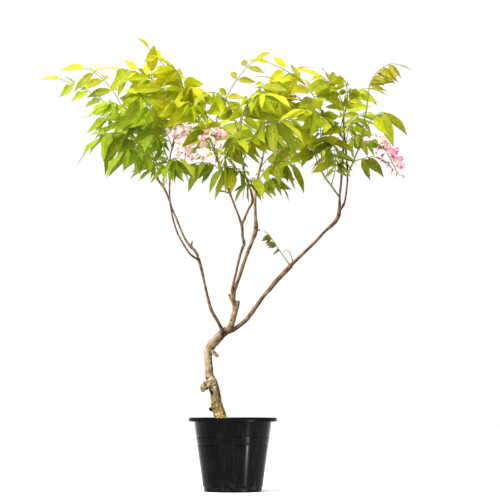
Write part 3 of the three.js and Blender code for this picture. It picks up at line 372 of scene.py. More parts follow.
# The trunk and limbs
# Living wood: a twisted trunk with a corky foot, a burl, knots and old cuts, and long bare limbs.
# It is one grown piece, so its limbs are blended into one skin before the bark is roughened.
# Each limb is a list of (x, y, z, radius) from its root to its end.
WOODY_LIMBS = {
    "trunk": [
        (-9, 0, 72, 5), (-11, 0, 96, 10), (-15, 0, 122, 14), (-20, 0, 141, 15),
        (-29, 0, 174, 13.4), (-37, 0, 202, 12.6), (-41, -3, 229, 12.1), (-47, -4, 251, 12.3),
        (-54, -4, 268, 10.7), (-56, 0, 292, 9), (-58, 3, 312, 9.2), (-56, 4, 328, 10.5),
        (-48, 4, 343, 10.6), (-36, 2, 355, 10.4), (-23, 0, 369, 10), (-13, 0, 377, 9),
    ],
    "burl": [
        (-50, -6, 252, 8), (-62, -9, 247, 8.5), (-69, -11, 241, 7.5), (-72, -12, 236, 4.5),
    ],
    "trunk_stub": [
        (-52, 0, 331, 5), (-42, -5, 321, 4.2), (-34, -8, 313, 3.8),
    ],
    "trunk_nub": [
        (-40, 0, 192, 4), (-49, -4, 191, 4), (-54, -5, 193, 2.6),
    ],
    "centre_stub": [
        (-20, 0, 369, 8.6), (-7, 0, 381, 7.7), (-1, 0, 397, 6.9), (4, 0, 417, 6.9),
        (8, 0, 435, 7.4), (9, 0, 445, 7.4),
    ],
    "leader": [
        (6, 0, 425, 4.2), (1, -6, 443, 4.9), (1, -8, 454, 5.4), (2, -8, 467, 5.6),
        (6, -2, 476, 4.5),
    ],
    "leader_stub": [
        (3, -2, 440, 4), (-5, -3, 450, 3.2), (-9, -4, 460, 2.4),
    ],
    "left": [
        (-16, -4, 367, 4.4), (-26, -10, 379, 4), (-37, -16, 399, 3.7), (-50, -22, 422, 3.8),
        (-60, -26, 459, 3), (-67, -28, 490, 2.9), (-72, -29, 513, 3.4), (-77, -30, 532, 3.6),
        (-81, -30, 542, 4.1),
    ],
    "left_smooth": [
        (-80, -30, 539, 3), (-91, -38, 545, 2.4), (-103, -46, 556, 2.2), (-123, -56, 589, 2.1),
        (-133, -58, 613, 2.1), (-143, -52, 653, 2), (-147, -46, 696, 1.9), (-146, -46, 740, 1.8),
        (-145, -50, 780, 1.8), (-131, -58, 822, 1.8), (-122, -62, 847, 1.9), (-115, -66, 872, 1.7),
    ],
    "left_rough": [
        (-79, -28, 534, 3), (-83, -22, 551, 2.9), (-91, -12, 563, 3.4), (-99, -6, 571, 3.4),
        (-113, 6, 591, 2.4), (-128, 20, 626, 2.4), (-134, 26, 641, 2.2), (-142, 32, 659, 2.2),
        (-159, 40, 705, 2.7), (-180, 48, 735, 3), (-187, 50, 749, 3.6), (-197, 52, 768, 2.7),
        (-204, 54, 783, 2.3),
    ],
    "left_rough_stub": [
        (-97, -8, 569, 2.6), (-96, -9, 577, 2.2), (-95, -10, 583, 1.8),
    ],
    "slim": [
        (1, -8, 455, 3.8), (-1, -14, 471, 3.3), (9, -32, 515, 2.9), (13, -38, 533, 2.9),
        (20, -46, 558, 3.1), (26, -50, 576, 4), (23, -54, 590, 3.1), (22, -58, 610, 3.4),
        (20, -60, 623, 3.8),
    ],
    "slim_left": [
        (21, -58, 616, 3.3), (13, -66, 640, 2.4), (-2, -78, 678, 2.4), (-8, -84, 694, 2.7),
        (-21, -96, 729, 2.2), (-27, -100, 746, 2.6), (-35, -104, 767, 2.7), (-42, -108, 784, 2.1),
    ],
    "slim_left_twig": [
        (-8, -83, 690, 2), (-22, -85, 694, 1.8), (-32, -86, 694, 1.9), (-34, -86, 688, 1.5),
    ],
    "slim_left_spur": [
        (-8, -84, 697, 2), (1, -87, 707, 1.8), (5, -88, 714, 2.2),
    ],
    "slim_right": [
        (21, -60, 618, 3), (26, -66, 629, 2.6), (36, -84, 651, 2.6), (46, -98, 672, 3.4),
        (39, -112, 702, 2.2), (32, -120, 719, 2.2), (25, -130, 742, 2.1), (20, -142, 778, 2.2),
        (16, -150, 800, 2.7), (13, -158, 828, 2.4),
    ],
    "stout": [
        (2, -8, 465, 4.6), (6, -2, 476, 4), (16, 8, 503, 4), (27, 20, 538, 4),
        (45, 36, 586, 4.2), (52, 42, 605, 5.1), (54, 47, 622, 5.4), (53, 54, 642, 3.7),
        (52, 70, 682, 3.4), (55, 84, 716, 2.9), (62, 104, 755, 2.7), (71, 128, 795, 2.3),
        (77, 148, 825, 2),
    ],
    "stout_stub": [
        (54, 46, 618, 3), (60, 42, 613, 2.6), (64, 40, 612, 2),
    ],
    "right": [
        (-14, 2, 372, 6.3), (1, 6, 377, 5.4), (23, 12, 393, 4.9), (35, 15, 405, 5.2),
        (59, 22, 438, 4.7), (70, 26, 454, 4.3), (89, 30, 476, 5.1), (99, 32, 489, 5.7),
        (112, 34, 503, 5.2), (133, 38, 525, 5.7), (143, 39, 536, 4.1), (191, 46, 582, 3.4),
        (216, 48, 609, 3.3), (239, 48, 630, 4.5), (248, 46, 645, 4.7), (251, 44, 662, 4.4),
    ],
    "right_dark": [
        (251, 44, 658, 3.7), (252, 56, 696, 2.7), (255, 62, 722, 2.7), (259, 66, 779, 2.8),
        (262, 60, 822, 3), (257, 58, 835, 2.2), (244, 54, 848, 2), (230, 50, 858, 1.9),
    ],
    "right_smooth": [
        (252, 42, 660, 3.3), (259, 30, 670, 3), (264, 18, 686, 2.3), (268, -8, 732, 2.2),
        (265, -26, 781, 2.2), (262, -32, 809, 2.6), (259, -36, 833, 2), (257, -38, 862, 2),
    ],
    "tendril": [
        (141, 39, 536, 1.6), (135, 34, 556, 1), (127, 30, 563, 0.9), (118, 27, 561, 0.8),
    ],
}

# How old each limb's bark is, from 0 for a smooth brown shoot to 1 for corky bark, and how dark it is; the
# burl's darkness is partly painted shade.
BARK = {
    "trunk": (1.0, 0.0), "burl": (1.0, 0.32), "trunk_stub": (0.9, 0.1), "trunk_nub": (1.0, 0.7),
    "centre_stub": (0.8, 0.0), "leader": (0.6, 0.1), "leader_stub": (0.6, 0.1), "left": (0.35, 0.4),
    "left_smooth": (0.15, 0.1), "left_rough": (0.75, 0.6), "left_rough_stub": (0.7, 0.5),
    "slim": (0.3, 0.1), "slim_left": (0.35, 0.3), "slim_left_twig": (0.3, 0.3),
    "slim_left_spur": (0.3, 0.3), "slim_right": (0.35, 0.3), "stout": (0.35, 0.25),
    "stout_stub": (0.5, 0.2), "right": (0.35, 0.15), "right_dark": (0.7, 0.8),
    "right_smooth": (0.1, 0.1), "tendril": (0.0, 0.2),
}
SAWN_ENDS = ("trunk_stub", "centre_stub", "left_rough_stub", "stout_stub")
# Holes, pits, dark knots and grooves, and painted shadow under the burl and down the lower trunk, on the
# side that faces the viewer: x, z, reach, depth and darkness.
BARK_MARKS_AND_SHADOWS = [
    (-61, 264.5, 3.2, 2.2, 1.0), (-66, 257.7, 3.2, 2, 1.0), (-73, 238.5, 2.6, 1.2, 1.0),
    (-60, 241.3, 2.4, 1, 1.0), (-56, 240.6, 2.4, 1, 1.0), (-52, 240.3, 2.4, 1, 1.0),
    (-47.5, 240.5, 2.4, 1, 1.0), (-59.5, 255, 1.8, 0.8, 0.8), (-55, 255, 1.6, 0.6, 0.7),
    (-50.5, 251, 1.8, 0.8, 0.8), (-48, 246, 1.8, 0.8, 0.8), (-61.8, 249, 2, 1, 0.9),
    (-56, 236, 6, 0.4, 1.0), (-50.5, 230, 7.5, 0.3, 0.9), (-50, 222, 14, 0, 0.14),
    (-42, 207.5, 3, 1.4, 1.0), (-47, 203, 2.6, 1.2, 0.9), (-51, 191, 5, 0.5, 0.95),
    (-20, 366, 11, 0.6, 0.6), (-33, 352, 12, 0, 0.25), (-37, 350, 3, 1, 0.6),
    (-42, 324, 4, 0.5, 0.7), (-48, 333, 3, 0.6, 0.4), (-3, 399, 3, 0.8, 0.7), (54, 618, 5, 0.3, 0.5),
    (250, 646, 5, 0.3, 0.5), (24, 578, 4.5, 0.3, 0.5), (-98, 566, 5, 0.3, 0.5), (-79, 540, 5, 0.3, 0.4),
]
# The lobes that the burl is made of, each a ball grown half out of the trunk: x, y, z and radius.
BURL_LOBES = [
    (-69.5, -13, 236.5, 5.2), (-66, -15, 254, 3.4), (-65.5, -16, 249, 3.3), (-64.8, -16, 244.5, 3.2),
    (-55.9, -15.5, 248, 5.2), (-52, -10, 261, 6.5), (-57, -11, 267, 3.5), (-48, -14, 256, 3.5),
    (-44, -14, 250, 3.5), (-41.5, -13.5, 244, 3.5),
]
# The burl starts at this height. Where its lobes meet, shade is painted dark into the creases, and light is
# painted on the lobes' faces; it is knobbiest round its middle.
BURL_FOOT = 226
BURL_MIDDLE = (-60, 252)
BURL_REACH = 16
LOBE_SKIN = 1.5
CREASE_REACH = 2.4
# Thick cork covers the foot of the trunk, up to a wandering edge.
CORK_TOP = 205
CORK_WANDER = 5
CORK_EDGE = 1.5
CORK_THICKNESS = 1.4
# Painted light and shade: the bark is painted lighter on the side that faces this way, where the light
# falls, and darker on the side turned away.
LIGHT_SIDE = Vector((-0.74, -0.28, 0.61))
# Each limb has a swollen node at these steps, each turned from the one before, in radians.
NODE_SPACING = 34
NODE_REACH = 3
NODE_TURN = 2.4
NODE_HEIGHT = 0.6
# How wide and long the ridges of the bark and the plates of the cork are, and how high or deep.
RIDGE_WIDTH = 2.6
RIDGE_LENGTH = 15
RIDGE_HEIGHT = 0.35
PLATE_WIDTH = 7
PLATE_LENGTH = 11
PLATE_GAP = 0.25
PLATE_DEPTH = 0.7
LUMP_SIZE = 8
LUMP_HEIGHT = 0.8
KNOB_HEIGHT = 2.6
WANDER_SIZE = 7
STAIN_SIZE = 12
MARK_REACH = 1.4
MARK_STRENGTH = 2.4
# Real streaks are under 1 mm wide and real dots about 2 mm apart. Both are drawn coarser to show.
STREAK_WIDTH = 2.2
DOT_SPACING = 4.5
PIT_SPACING = 6.5
PATCH_SIZE = 16
BARK_GRID = 1.1
LIMB_SIDES = 20
LOBE_SIDES = 16
LOBE_STEPS = 4
FORK_SOFTENING = 3


def curve_point(points, share):
    """A point on the smooth curve through points, at a share of its run."""
    last = len(points) - 1
    place = last * share
    index = min(math.floor(place), last - 1)
    weight = place - index
    here, after = points[index], points[index + 1]
    before = points[index - 1] if index > 0 else here + (here - after)
    beyond = points[index + 2] if index + 2 <= last else after + (after - here)
    start, end = 0.5 * (after - before), 0.5 * (beyond - here)
    square = -3 * here + 3 * after - 2 * start - end
    cube = 2 * here - 2 * after + start + end
    return here + start * weight + square * weight * weight + cube * weight * weight * weight


def unit(vector):
    """A vector of length one."""
    return vector / math.sqrt(vector.dot(vector))


def direction(point_at, share):
    """The direction of a curve at a share of its run."""
    low = max(share - 0.0001, 0)
    high = min(share + 0.0001, 1)
    return unit(point_at(high) - point_at(low))


def limb_rings(points, count):
    """Rings along a limb: centre, the directions along and across it, its radius and the length so far."""
    points = np.array(points, float)
    across = np.array((1.0, 0.0, 0.0))
    length = 0
    made = []
    for ring in range(count + 1):
        centre = curve_point(points, ring / count)
        along = direction(lambda share: curve_point(points[:, :3], share), ring / count)
        across = unit(across - across.dot(along) * along)
        if made:
            length += math.dist(centre[:3], made[-1][0])
        made.append((centre[:3], along, across, np.cross(along, across), centre[3], length))
    return made


def tube(rings, sides, corners, faces, swell=None):
    """Adds a closed round tube along rings to lists of corners and faces."""
    start = len(corners)
    for number, (centre, along, across, other, radius, length) in enumerate(rings):
        for side in range(sides):
            angle = 2 * math.pi * side / sides
            reach = radius * (swell(length, angle) if swell else 1)
            corners.append(centre + across * (reach * math.cos(angle)) + other * (reach * math.sin(angle)))
        if number:
            low = start + (number - 1) * sides
            for side in range(sides):
                beside = (side + 1) % sides
                faces.append((low + side, low + beside, low + sides + beside, low + sides + side))
    faces.append([start + side for side in reversed(range(sides))])
    last = len(corners) - sides
    faces.append([last + side for side in range(sides)])


def wisteria_bark():
    """Wisteria bark: dull, tan and corky with dark cracks where old, and smooth red-brown where young."""
    material, tree = new_material("wisteria bark")
    age, dark, crack, sawn, cork, lit_side = (
        add_node(tree, "Attribute", attribute_name=name).outputs["Fac"]
        for name in ("age", "dark", "crack", "sawn", "cork", "lit_side")
    )
    place = add_node(tree, "Attribute", attribute_name="bark_place").outputs["Vector"]
    streaked = add_node(tree, "Mapping", {"Vector": place, "Scale": (1, 1, 0.16)}).outputs[0]
    streaks = add_node(tree, "TexNoise", {
        "Vector": streaked, "Scale": 1 / (STREAK_WIDTH * MM), "Detail": 6,
    }).outputs[0]
    patches = add_node(tree, "TexNoise", {"Vector": place, "Scale": 1 / (PATCH_SIZE * MM), "Detail": 4})
    both = add_node(tree, "Math", {0: streaks, 1: patches.outputs[0]}, operation="ADD").outputs[0]
    grain = add_node(tree, "MapRange", {0: both, 1: 0.7, 2: 1.3, 3: -0.1, 4: 0.7}).outputs[0]
    # Painted light and shade: the bark is lighter on the side that faces the light and darker on the side
    # turned from it.
    painted_side_light = add_node(tree, "MapRange", {0: lit_side, 1: 0, 2: 1, 3: -0.36, 4: 0.66}).outputs[0]
    tone = add_node(tree, "Math", {0: grain, 1: painted_side_light}, operation="ADD").outputs[0]
    young = add_node(tree, "ValToRGB", {0: tone})
    set_stops(young, [(0, "#1a0d07"), (0.35, "#382013"), (0.65, "#543523"), (1, "#886652")])
    old = add_node(tree, "ValToRGB", {0: tone})
    set_stops(old, [(0, "#352617"), (0.35, "#614d35"), (0.7, "#7f6d50"), (1, "#9a8a6d")])
    corky = add_node(tree, "ValToRGB", {0: tone})
    set_stops(corky, [(0, "#4a3a1c"), (0.4, "#897342"), (0.75, "#b39b60"), (1, "#c8b280")])
    pits = add_node(tree, "TexVoronoi", {"Vector": place, "Scale": 1 / (PIT_SPACING * MM)})
    pit = add_node(tree, "MapRange", {0: pits.outputs["Distance"], 1: 0.2, 2: 0.1, 4: 0.7}).outputs[0]
    firm = add_node(tree, "Math", {0: age, 1: cork}, operation="SUBTRACT", use_clamp=True).outputs[0]
    aged_pit = add_node(tree, "Math", {0: pit, 1: firm}, operation="MULTIPLY").outputs[0]
    dots = add_node(tree, "TexVoronoi", {"Vector": place, "Scale": 1 / (DOT_SPACING * MM)})
    dot = add_node(tree, "MapRange", {0: dots.outputs["Distance"], 1: 0.16, 2: 0.08, 4: 0.55}).outputs[0]
    # Each layer covers the ones before it: old bark, cork, dark bark with its stains and painted shade,
    # pits, pale dots, cracks and sawn wood.
    colour = young.outputs[0]
    for share, cover in (
        (age, old.outputs[0]), (cork, corky.outputs[0]), (dark, linear("#160d06")),
        (aged_pit, linear("#2e2012")), (dot, linear("#af9677")), (crack, linear("#1c120a")),
        (sawn, linear("#cdbb98")),
    ):
        colour = add_node(tree, "Mix", {0: share, 6: colour, 7: cover}, data_type="RGBA").outputs[2]
    relief = add_node(tree, "Math", {0: streaks, 1: dot}, operation="ADD").outputs[0]
    bump = add_node(tree, "Bump", {"Height": relief, "Strength": 0.75, "Distance": 0.5 * MM})
    shader = add_node(tree, "BsdfPrincipled", {
        "Base Color": colour, "Roughness": 0.85, "Specular IOR Level": 0.06, "Normal": bump.outputs[0],
    })
    add_node(tree, "OutputMaterial", {0: shader.outputs[0]})
    return material


def green_stem():
    """A green stem: waxy, with a soft sheen, yellow-green in stretches and a little red in others."""
    material, tree = new_material("green wisteria stem")
    band = 9
    place = add_node(tree, "TexCoord").outputs["Object"]
    bands = add_node(tree, "TexNoise", {"Vector": place, "Scale": 1 / (band * MM), "Detail": 5}).outputs[0]
    greens = add_node(tree, "ValToRGB", {0: bands})
    set_stops(greens, [(0.3, "#475416"), (0.5, "#5e6a20"), (0.66, "#78742e"), (0.8, "#6a4a2c")])
    bump = add_node(tree, "Bump", {"Height": bands, "Strength": 0.3, "Distance": 0.3 * MM})
    shader = add_node(tree, "BsdfPrincipled", {
        "Base Color": greens.outputs[0], "Roughness": 0.55, "Specular IOR Level": 0.12,
        "Normal": bump.outputs[0],
    })
    add_node(tree, "OutputMaterial", {0: shader.outputs[0]})
    return material


STEM = green_stem()


def set_values(mesh, name, kind, values):
    """Gives a mesh one value for each corner, of kind FLOAT or FLOAT_VECTOR."""
    layer = mesh.attributes.new(name, kind, "POINT")
    layer.data.foreach_set("vector" if kind == "FLOAT_VECTOR" else "value", np.ravel(values))


def blended_limbs():
    """Blends all limbs and the burl's lobes into one skin. Gives the piece and the rings of its limbs."""
    corners, faces, samples = [], [], []
    for name, points in WOODY_LIMBS.items():
        rings = limb_rings(points, 6 * (len(points) - 1))
        if name != "tendril":
            tube(rings, LIMB_SIDES, corners, faces)
        samples += [(name, number == len(rings) - 1, ring) for number, ring in enumerate(rings)]
    for x, y, z, radius in BURL_LOBES:
        ball = []
        for step in range(-LOBE_STEPS, LOBE_STEPS + 1):
            height = radius * math.sin(math.pi / 2 * step / LOBE_STEPS)
            ball.append((x, y, z + height, max(math.sqrt(radius ** 2 - height ** 2), 0.1)))
        tube(limb_rings(ball, 2 * LOBE_STEPS), LOBE_SIDES, corners, faces)
    wood = add_piece("trunk_and_limbs", corners, faces, [wisteria_bark()])
    skin = wood.modifiers.new("one skin", "REMESH")
    skin.mode = "VOXEL"
    skin.voxel_size = BARK_GRID * MM
    soften = wood.modifiers.new("soft forks", "SMOOTH")
    soften.iterations = FORK_SOFTENING
    applied(wood)
    return wood, samples


def grow_bark(mesh, samples):
    """Raises nodes, ridges and cork from the skin, sinks cracks and marks, and notes what each corner is,
    with the shade and light painted on it.
    """
    tree = kdtree.KDTree(len(samples))
    for number, (_, _, ring) in enumerate(samples):
        tree.insert(ring[0], number)
    tree.balance()
    count = len(mesh.vertices)
    place = np.zeros(count * 3)
    normal = np.zeros(count * 3)
    mesh.vertices.foreach_get("co", place)
    mesh.vertex_normals.foreach_get("vector", normal)
    place = place.reshape(-1, 3) / MM
    normal = normal.reshape(-1, 3)
    ages, dark_bark_and_shade, cracks, sawn, corks, lit_side = (np.zeros(count) for _ in range(6))
    unrolled = np.zeros((count, 3))
    for index in range(count):
        number = tree.find(place[index])[1]
        name, is_end, (centre, along, across, other, radius, length) = samples[number]
        offset = place[index] - centre
        run = length + offset.dot(along)
        local = Vector((offset.dot(across), offset.dot(other), run))
        unrolled[index] = local * MM
        age, darkness = BARK[name]
        x, y, z = place[index]
        wander = noise.noise((x / WANDER_SIZE, y / WANDER_SIZE, z / WANDER_SIZE))
        cork = 0
        if name in ("trunk", "trunk_nub"):
            cork = 1 / (1 + math.exp((z - CORK_TOP - CORK_WANDER * wander) / CORK_EDGE))
        ages[index] = age
        corks[index] = cork
        # Painted light: how far each corner faces the light.
        lit_side[index] = 0.5 + 0.5 * normal[index].dot(LIGHT_SIDE)
        dark_bark_and_shade[index] = darkness * 0.8 * max(0, 0.9 + noise.noise(local / STAIN_SIZE))
        # Painted shade in the creases where the burl's lobes meet, and painted light on the faces of the
        # lobes.
        if name in ("burl", "trunk") and z > BURL_FOOT:
            gaps = sorted(math.dist((x, y, z), lobe[:3]) - lobe[3] for lobe in BURL_LOBES)
            crease_shade = max(0, 1 - abs(gaps[1]) / CREASE_REACH) * (gaps[0] > -LOBE_SKIN)
            dark_bark_and_shade[index] = max(dark_bark_and_shade[index], 1 - (1 - 0.8 * crease_shade) ** 2)
            lit_side[index] += 0.35 * (abs(gaps[0]) < LOBE_SKIN) * (1 - crease_shade)
        # Each mark darkens the bark and sinks it by its depth; some are painted shadow, under the burl and
        # on the lower trunk.
        for centre_x, centre_z, reach, depth, darkest in BARK_MARKS_AND_SHADOWS:
            away = math.hypot(x - centre_x, z - centre_z) / reach
            if away < MARK_REACH and normal[index][1] < 0.2:
                fall = math.exp(-(away * 1.3) ** 4)
                mark = min(1, darkest * fall * (1 + 0.5 * wander))
                dark_bark_and_shade[index] = max(dark_bark_and_shade[index], 1 - (1 - mark) ** MARK_STRENGTH)
                place[index] -= normal[index] * (depth * fall)
        if is_end and name in SAWN_ENDS and offset.dot(along) > -0.4:
            sawn[index] = 1
            continue
        ridge = noise.noise((local.x / RIDGE_WIDTH, local.y / RIDGE_WIDTH, local.z / RIDGE_LENGTH))
        lump = noise.noise(Vector(place[index]) / LUMP_SIZE)
        cell = (local.x / PLATE_WIDTH, local.y / PLATE_WIDTH, local.z / PLATE_LENGTH)
        near, next_near = noise.voronoi(cell)[0][:2]
        gap = max(0, 1 - (next_near - near) / PLATE_GAP) * max(age - 0.5, 0) * (0.15 + 1.9 * cork)
        cracks[index] = min(1, gap + max(0, -ridge - 0.3) * age * (0.4 + cork))
        bud = math.exp(-((run % NODE_SPACING - NODE_SPACING / 2) / NODE_REACH) ** 2)
        facing = math.cos(math.atan2(local.y, local.x) - NODE_TURN * (run // NODE_SPACING))
        knobby = math.exp(-(math.hypot(x - BURL_MIDDLE[0], z - BURL_MIDDLE[1]) / BURL_REACH) ** 2)
        raised = RIDGE_HEIGHT * age * ridge + (LUMP_HEIGHT + KNOB_HEIGHT * knobby) * age * age * lump
        raised = raised - PLATE_DEPTH * gap + CORK_THICKNESS * cork
        raised += NODE_HEIGHT * bud * (0.4 + 0.6 * max(facing, 0)) * min(1, radius / 3)
        place[index] += normal[index] * raised
    mesh.vertices.foreach_set("co", np.ravel(place * MM))
    notes = {"age": ages, "dark": dark_bark_and_shade, "crack": cracks, "sawn": sawn, "cork": corks, "lit_side": lit_side}
    for name, values in notes.items():
        set_values(mesh, name, "FLOAT", values)
    set_values(mesh, "bark_place", "FLOAT_VECTOR", unrolled)
    mesh.shade_smooth()


def build_wood():
    """Makes the wood with its bark, and the thin green tendril that curls from a limb."""
    wood, samples = blended_limbs()
    grow_bark(wood.data, samples)
    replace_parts(wood, "trunk_and_branches")
    corners, faces = [], []
    tube(limb_rings(WOODY_LIMBS["tendril"], 24), 10, corners, faces)
    add_piece("tendril", corners, faces, [STEM])


build_wood()

# The leaves
# Compound leaves of thin soft tissue, each a rib with pairs of leaflets on short stalks and one at its tip.
# Some grow straight from the wood and some from this year's green shoots. No leaflet may touch another:
# each takes the first droop that keeps it clear of all that is there already, or is left out.
GREEN_SHOOTS = {
    "crown_shoot": [
        (-115, -66, 870, 1.6), (-106, -69, 891, 1.6), (-98, -72, 912, 1.5),
    ],
    "far_left_shoot": [
        (-204, 54, 781, 1.9), (-213, 52, 800, 1.9), (-228, 48, 824, 1.8), (-243, 44, 842, 1.7),
    ],
    "centre_shoot": [
        (-42, -108, 782, 1.8), (-41, -104, 815, 1.6), (-36, -100, 862, 1.5),
    ],
    "twig_shoot": [
        (231, 50, 857, 1.8), (219, 49, 876, 1.7), (207, 48, 898, 1.6),
    ],
    "bare_right_shoot": [
        (252, 53, 690, 2), (243, 50, 702, 2.1), (231, 42, 718, 2.2), (220, 32, 731, 2.2),
        (209, 22, 748, 2), (199, 12, 765, 1.9),
    ],
    "long_right_shoot": [
        (268, -10, 736, 1.9), (284, -26, 776, 1.8), (294, -36, 801, 1.8), (300, -46, 830, 1.7),
        (304, -52, 856, 1.6), (311, -58, 890, 1.6), (314, -60, 920, 1.5),
    ],
}

# A leaf is its name, its limb, its place on it, the middle and the end of its rib, the share of the rib
# that is bare, a leaflet's length, its loss by the tip, its droop, and its turn to the front in degrees.
LEAVES = [
    ("leaf_crown", "crown_shoot", 2, (-142, -80, 966), (-194, -88, 1026), 0.1, 70, 0.45, 5, 50),
    ("leaf_far_left", "far_left_shoot", 3, (-306, 30, 916), (-404, 16, 966), 0.2, 58, 0.1, 10, 40),
    ("leaf_far_left_high", "far_left_shoot", 2.4, (-286, 74, 946), (-350, 84, 1000),
     0.5, 62, 0, 30, 40),
    ("leaf_left_upright", "left_rough", 11.6, (-196, 14, 872), (-190, -18, 976), 0.36, 92, 0.1, 8, 0),
    ("leaf_left_low", "left_rough", 10.2, (-240, 6, 828), (-306, -26, 828), 0.4, 80, 0, 40, 20),
    ("leaf_left_hanging", "left_rough", 9.2, (-198, -22, 790), (-250, -92, 788), 0.3, 78, 0, 58, 0),
    ("leaf_limb_sprout", "right", 9.2, (104, 22, 571), (84, 12, 600), 0.6, 24, 0, 40, 0),
    ("leaf_left_back", "left_rough", 8.8, (-190, 112, 792), (-236, 190, 846), 0.3, 76, 0.1, 25, 0),
    ("leaf_far_left_back", "left_rough", 11, (-250, 124, 856), (-322, 176, 900), 0.3, 72, 0.2, 20, 20),
    ("leaf_left_front", "left_rough", 10.8, (-232, -46, 866), (-282, -128, 894), 0.4, 74, 0.2, 22, 10),
    ("leaf_left_nearest", "left_smooth", 7.5, (-168, -96, 808), (-186, -158, 818), 0.35, 68, 0, 48, 0),
    ("leaf_left_lit", "left_smooth", 9.3, (-118, -118, 910), (-92, -176, 926), 0.25, 82, 0, 42, 0),
    ("leaf_left_inner", "left_smooth", 8.4, (-172, -122, 862), (-216, -190, 906), 0.3, 78, 0.1, 25, 0),
    ("leaf_left_inner_low", "left_smooth", 6.6, (-146, -104, 758), (-120, -160, 764), 0.3, 80, 0, 55, 0),
    ("leaf_left_high_back", "left_smooth", 8.9, (-146, 26, 900), (-166, 110, 962),
     0.35, 82, 0.1, 12, 30),
    ("leaf_left_high", "left_smooth", 10, (-170, -40, 944), (-260, -34, 984), 0.25, 86, 0.1, 10, 25),
    ("leaf_left_yellow", "left_smooth", 10.6, (-114, -112, 930), (-136, -150, 974),
     0.35, 88, 0.1, 12, 25),
    ("leaf_centre_young", "centre_shoot", 2, (6, -96, 946), (54, -90, 1000), 0.28, 42, 0, 10, 50),
    ("leaf_centre_left", "slim_left", 6.5, (-72, -160, 852), (-98, -226, 884), 0.3, 78, 0.1, 30, 0),
    ("leaf_centre_left_back", "slim_left", 5.2, (-58, -40, 812), (-96, 20, 852), 0.3, 76, 0.1, 25, 0),
    ("leaf_centre_left_low", "slim_left", 4.2, (-54, -110, 756), (-98, -124, 752), 0.35, 60, 0, 52, 0),
    ("leaf_centre_middle", "slim_left", 4.7, (-8, -160, 780), (14, -224, 800), 0.35, 66, 0, 48, 0),
    ("leaf_centre_front", "slim_right", 7.8, (32, -196, 878), (76, -244, 902), 0.35, 86, 0.1, 30, 0),
    ("leaf_centre_crossing", "slim_right", 8.45, (-12, -190, 888), (-50, -246, 904),
     0.3, 80, 0.1, 32, 0),
    ("leaf_centre_top", "slim_right", 9, (38, -132, 900), (88, -108, 944), 0.3, 78, 0.2, 15, 25),
    ("leaf_centre_low", "slim_right", 5, (6, -162, 742), (-24, -208, 736), 0.3, 72, 0, 55, 0),
    ("leaf_centre_low_right", "slim_right", 3.8, (36, -140, 712), (50, -196, 716), 0.3, 70, 0, 55, 0),
    ("leaf_centre_pale", "slim_right", 6.4, (60, -196, 826), (108, -252, 842), 0.35, 90, 0, 55, 0),
    ("leaf_centre_right", "slim_right", 7, (76, -124, 836), (146, -112, 858), 0.3, 80, 0.1, 30, 10),
    ("leaf_back_top", "stout", 12, (84, 138, 930), (130, 122, 992), 0.3, 80, 0.1, 15, 20),
    ("leaf_back_centre", "stout", 11.3, (46, 196, 866), (0, 256, 894), 0.3, 78, 0.1, 25, 0),
    ("leaf_back_right", "stout", 10.3, (118, 168, 822), (176, 226, 846), 0.3, 78, 0.1, 28, 0),
    ("leaf_back_left", "stout", 10.8, (6, 96, 836), (-56, 98, 882), 0.35, 80, 0.1, 22, 20),
    ("leaf_middle_low", "stout", 9.2, (92, 52, 768), (136, 14, 768), 0.35, 72, 0, 50, 0),
    ("leaf_middle_lowest", "stout", 8.2, (78, 56, 728), (100, 40, 734), 0.45, 62, 0, 45, 0),
    ("leaf_middle_high", "stout", 11.7, (86, 62, 880), (116, -4, 916), 0.4, 78, 0.1, 25, 0),
    ("leaf_right_arch", "twig_shoot", 2, (162, 36, 962), (88, 20, 1004), 0.08, 96, 0.4, 5, 40),
    ("leaf_right_arch_under", "twig_shoot", 1, (164, 8, 914), (96, -18, 962), 0.4, 58, 0.1, 40, 0),
    ("leaf_right_crest", "right_smooth", 6.3, (248, -84, 912), (206, -96, 958), 0.35, 84, 0.1, 15, 30),
    ("leaf_right_drooping", "right_smooth", 7, (266, -58, 930), (246, -70, 966), 0.4, 64, 0.1, 55, 0),
    ("leaf_far_right_high", "long_right_shoot", 6, (328, -64, 964), (366, -72, 992),
     0.3, 62, 0.1, 62, 15),
    ("leaf_far_right", "long_right_shoot", 2.8, (332, -70, 872), (360, -84, 872), 0.4, 76, 0, 40, 30),
    ("leaf_far_right_low", "long_right_shoot", 0.8, (304, -14, 776), (326, -2, 782), 0.5, 60, 0, 55, 0),
    ("leaf_right_dark", "right_dark", 3.7, (284, 26, 832), (310, 2, 836), 0.4, 74, 0, 40, 10),
    ("leaf_right_inner", "bare_right_shoot", 5, (180, -22, 800), (146, -58, 808), 0.3, 82, 0, 50, 0),
    ("leaf_right_inner_high", "bare_right_shoot", 4, (206, -14, 826), (200, -62, 884),
     0.4, 78, 0.1, 25, 0),
    ("leaf_right_middle", "bare_right_shoot", 2, (240, -10, 768), (226, -88, 822), 0.45, 74, 0, 35, 0),
    ("leaf_right_front", "right_smooth", 5.2, (222, -102, 856), (160, -156, 878),
     0.35, 82, 0.1, 28, 10),
    ("leaf_right_back", "right_dark", 4.4, (284, 124, 876), (316, 190, 906), 0.3, 76, 0.1, 25, 0),
    ("leaf_right_back_low", "right_dark", 2.5, (244, 126, 790), (230, 190, 812), 0.35, 76, 0.1, 30, 0),
    ("leaf_right_top", "right_dark", 5.3, (272, 72, 916), (312, 84, 952), 0.35, 68, 0.1, 30, 20),
]

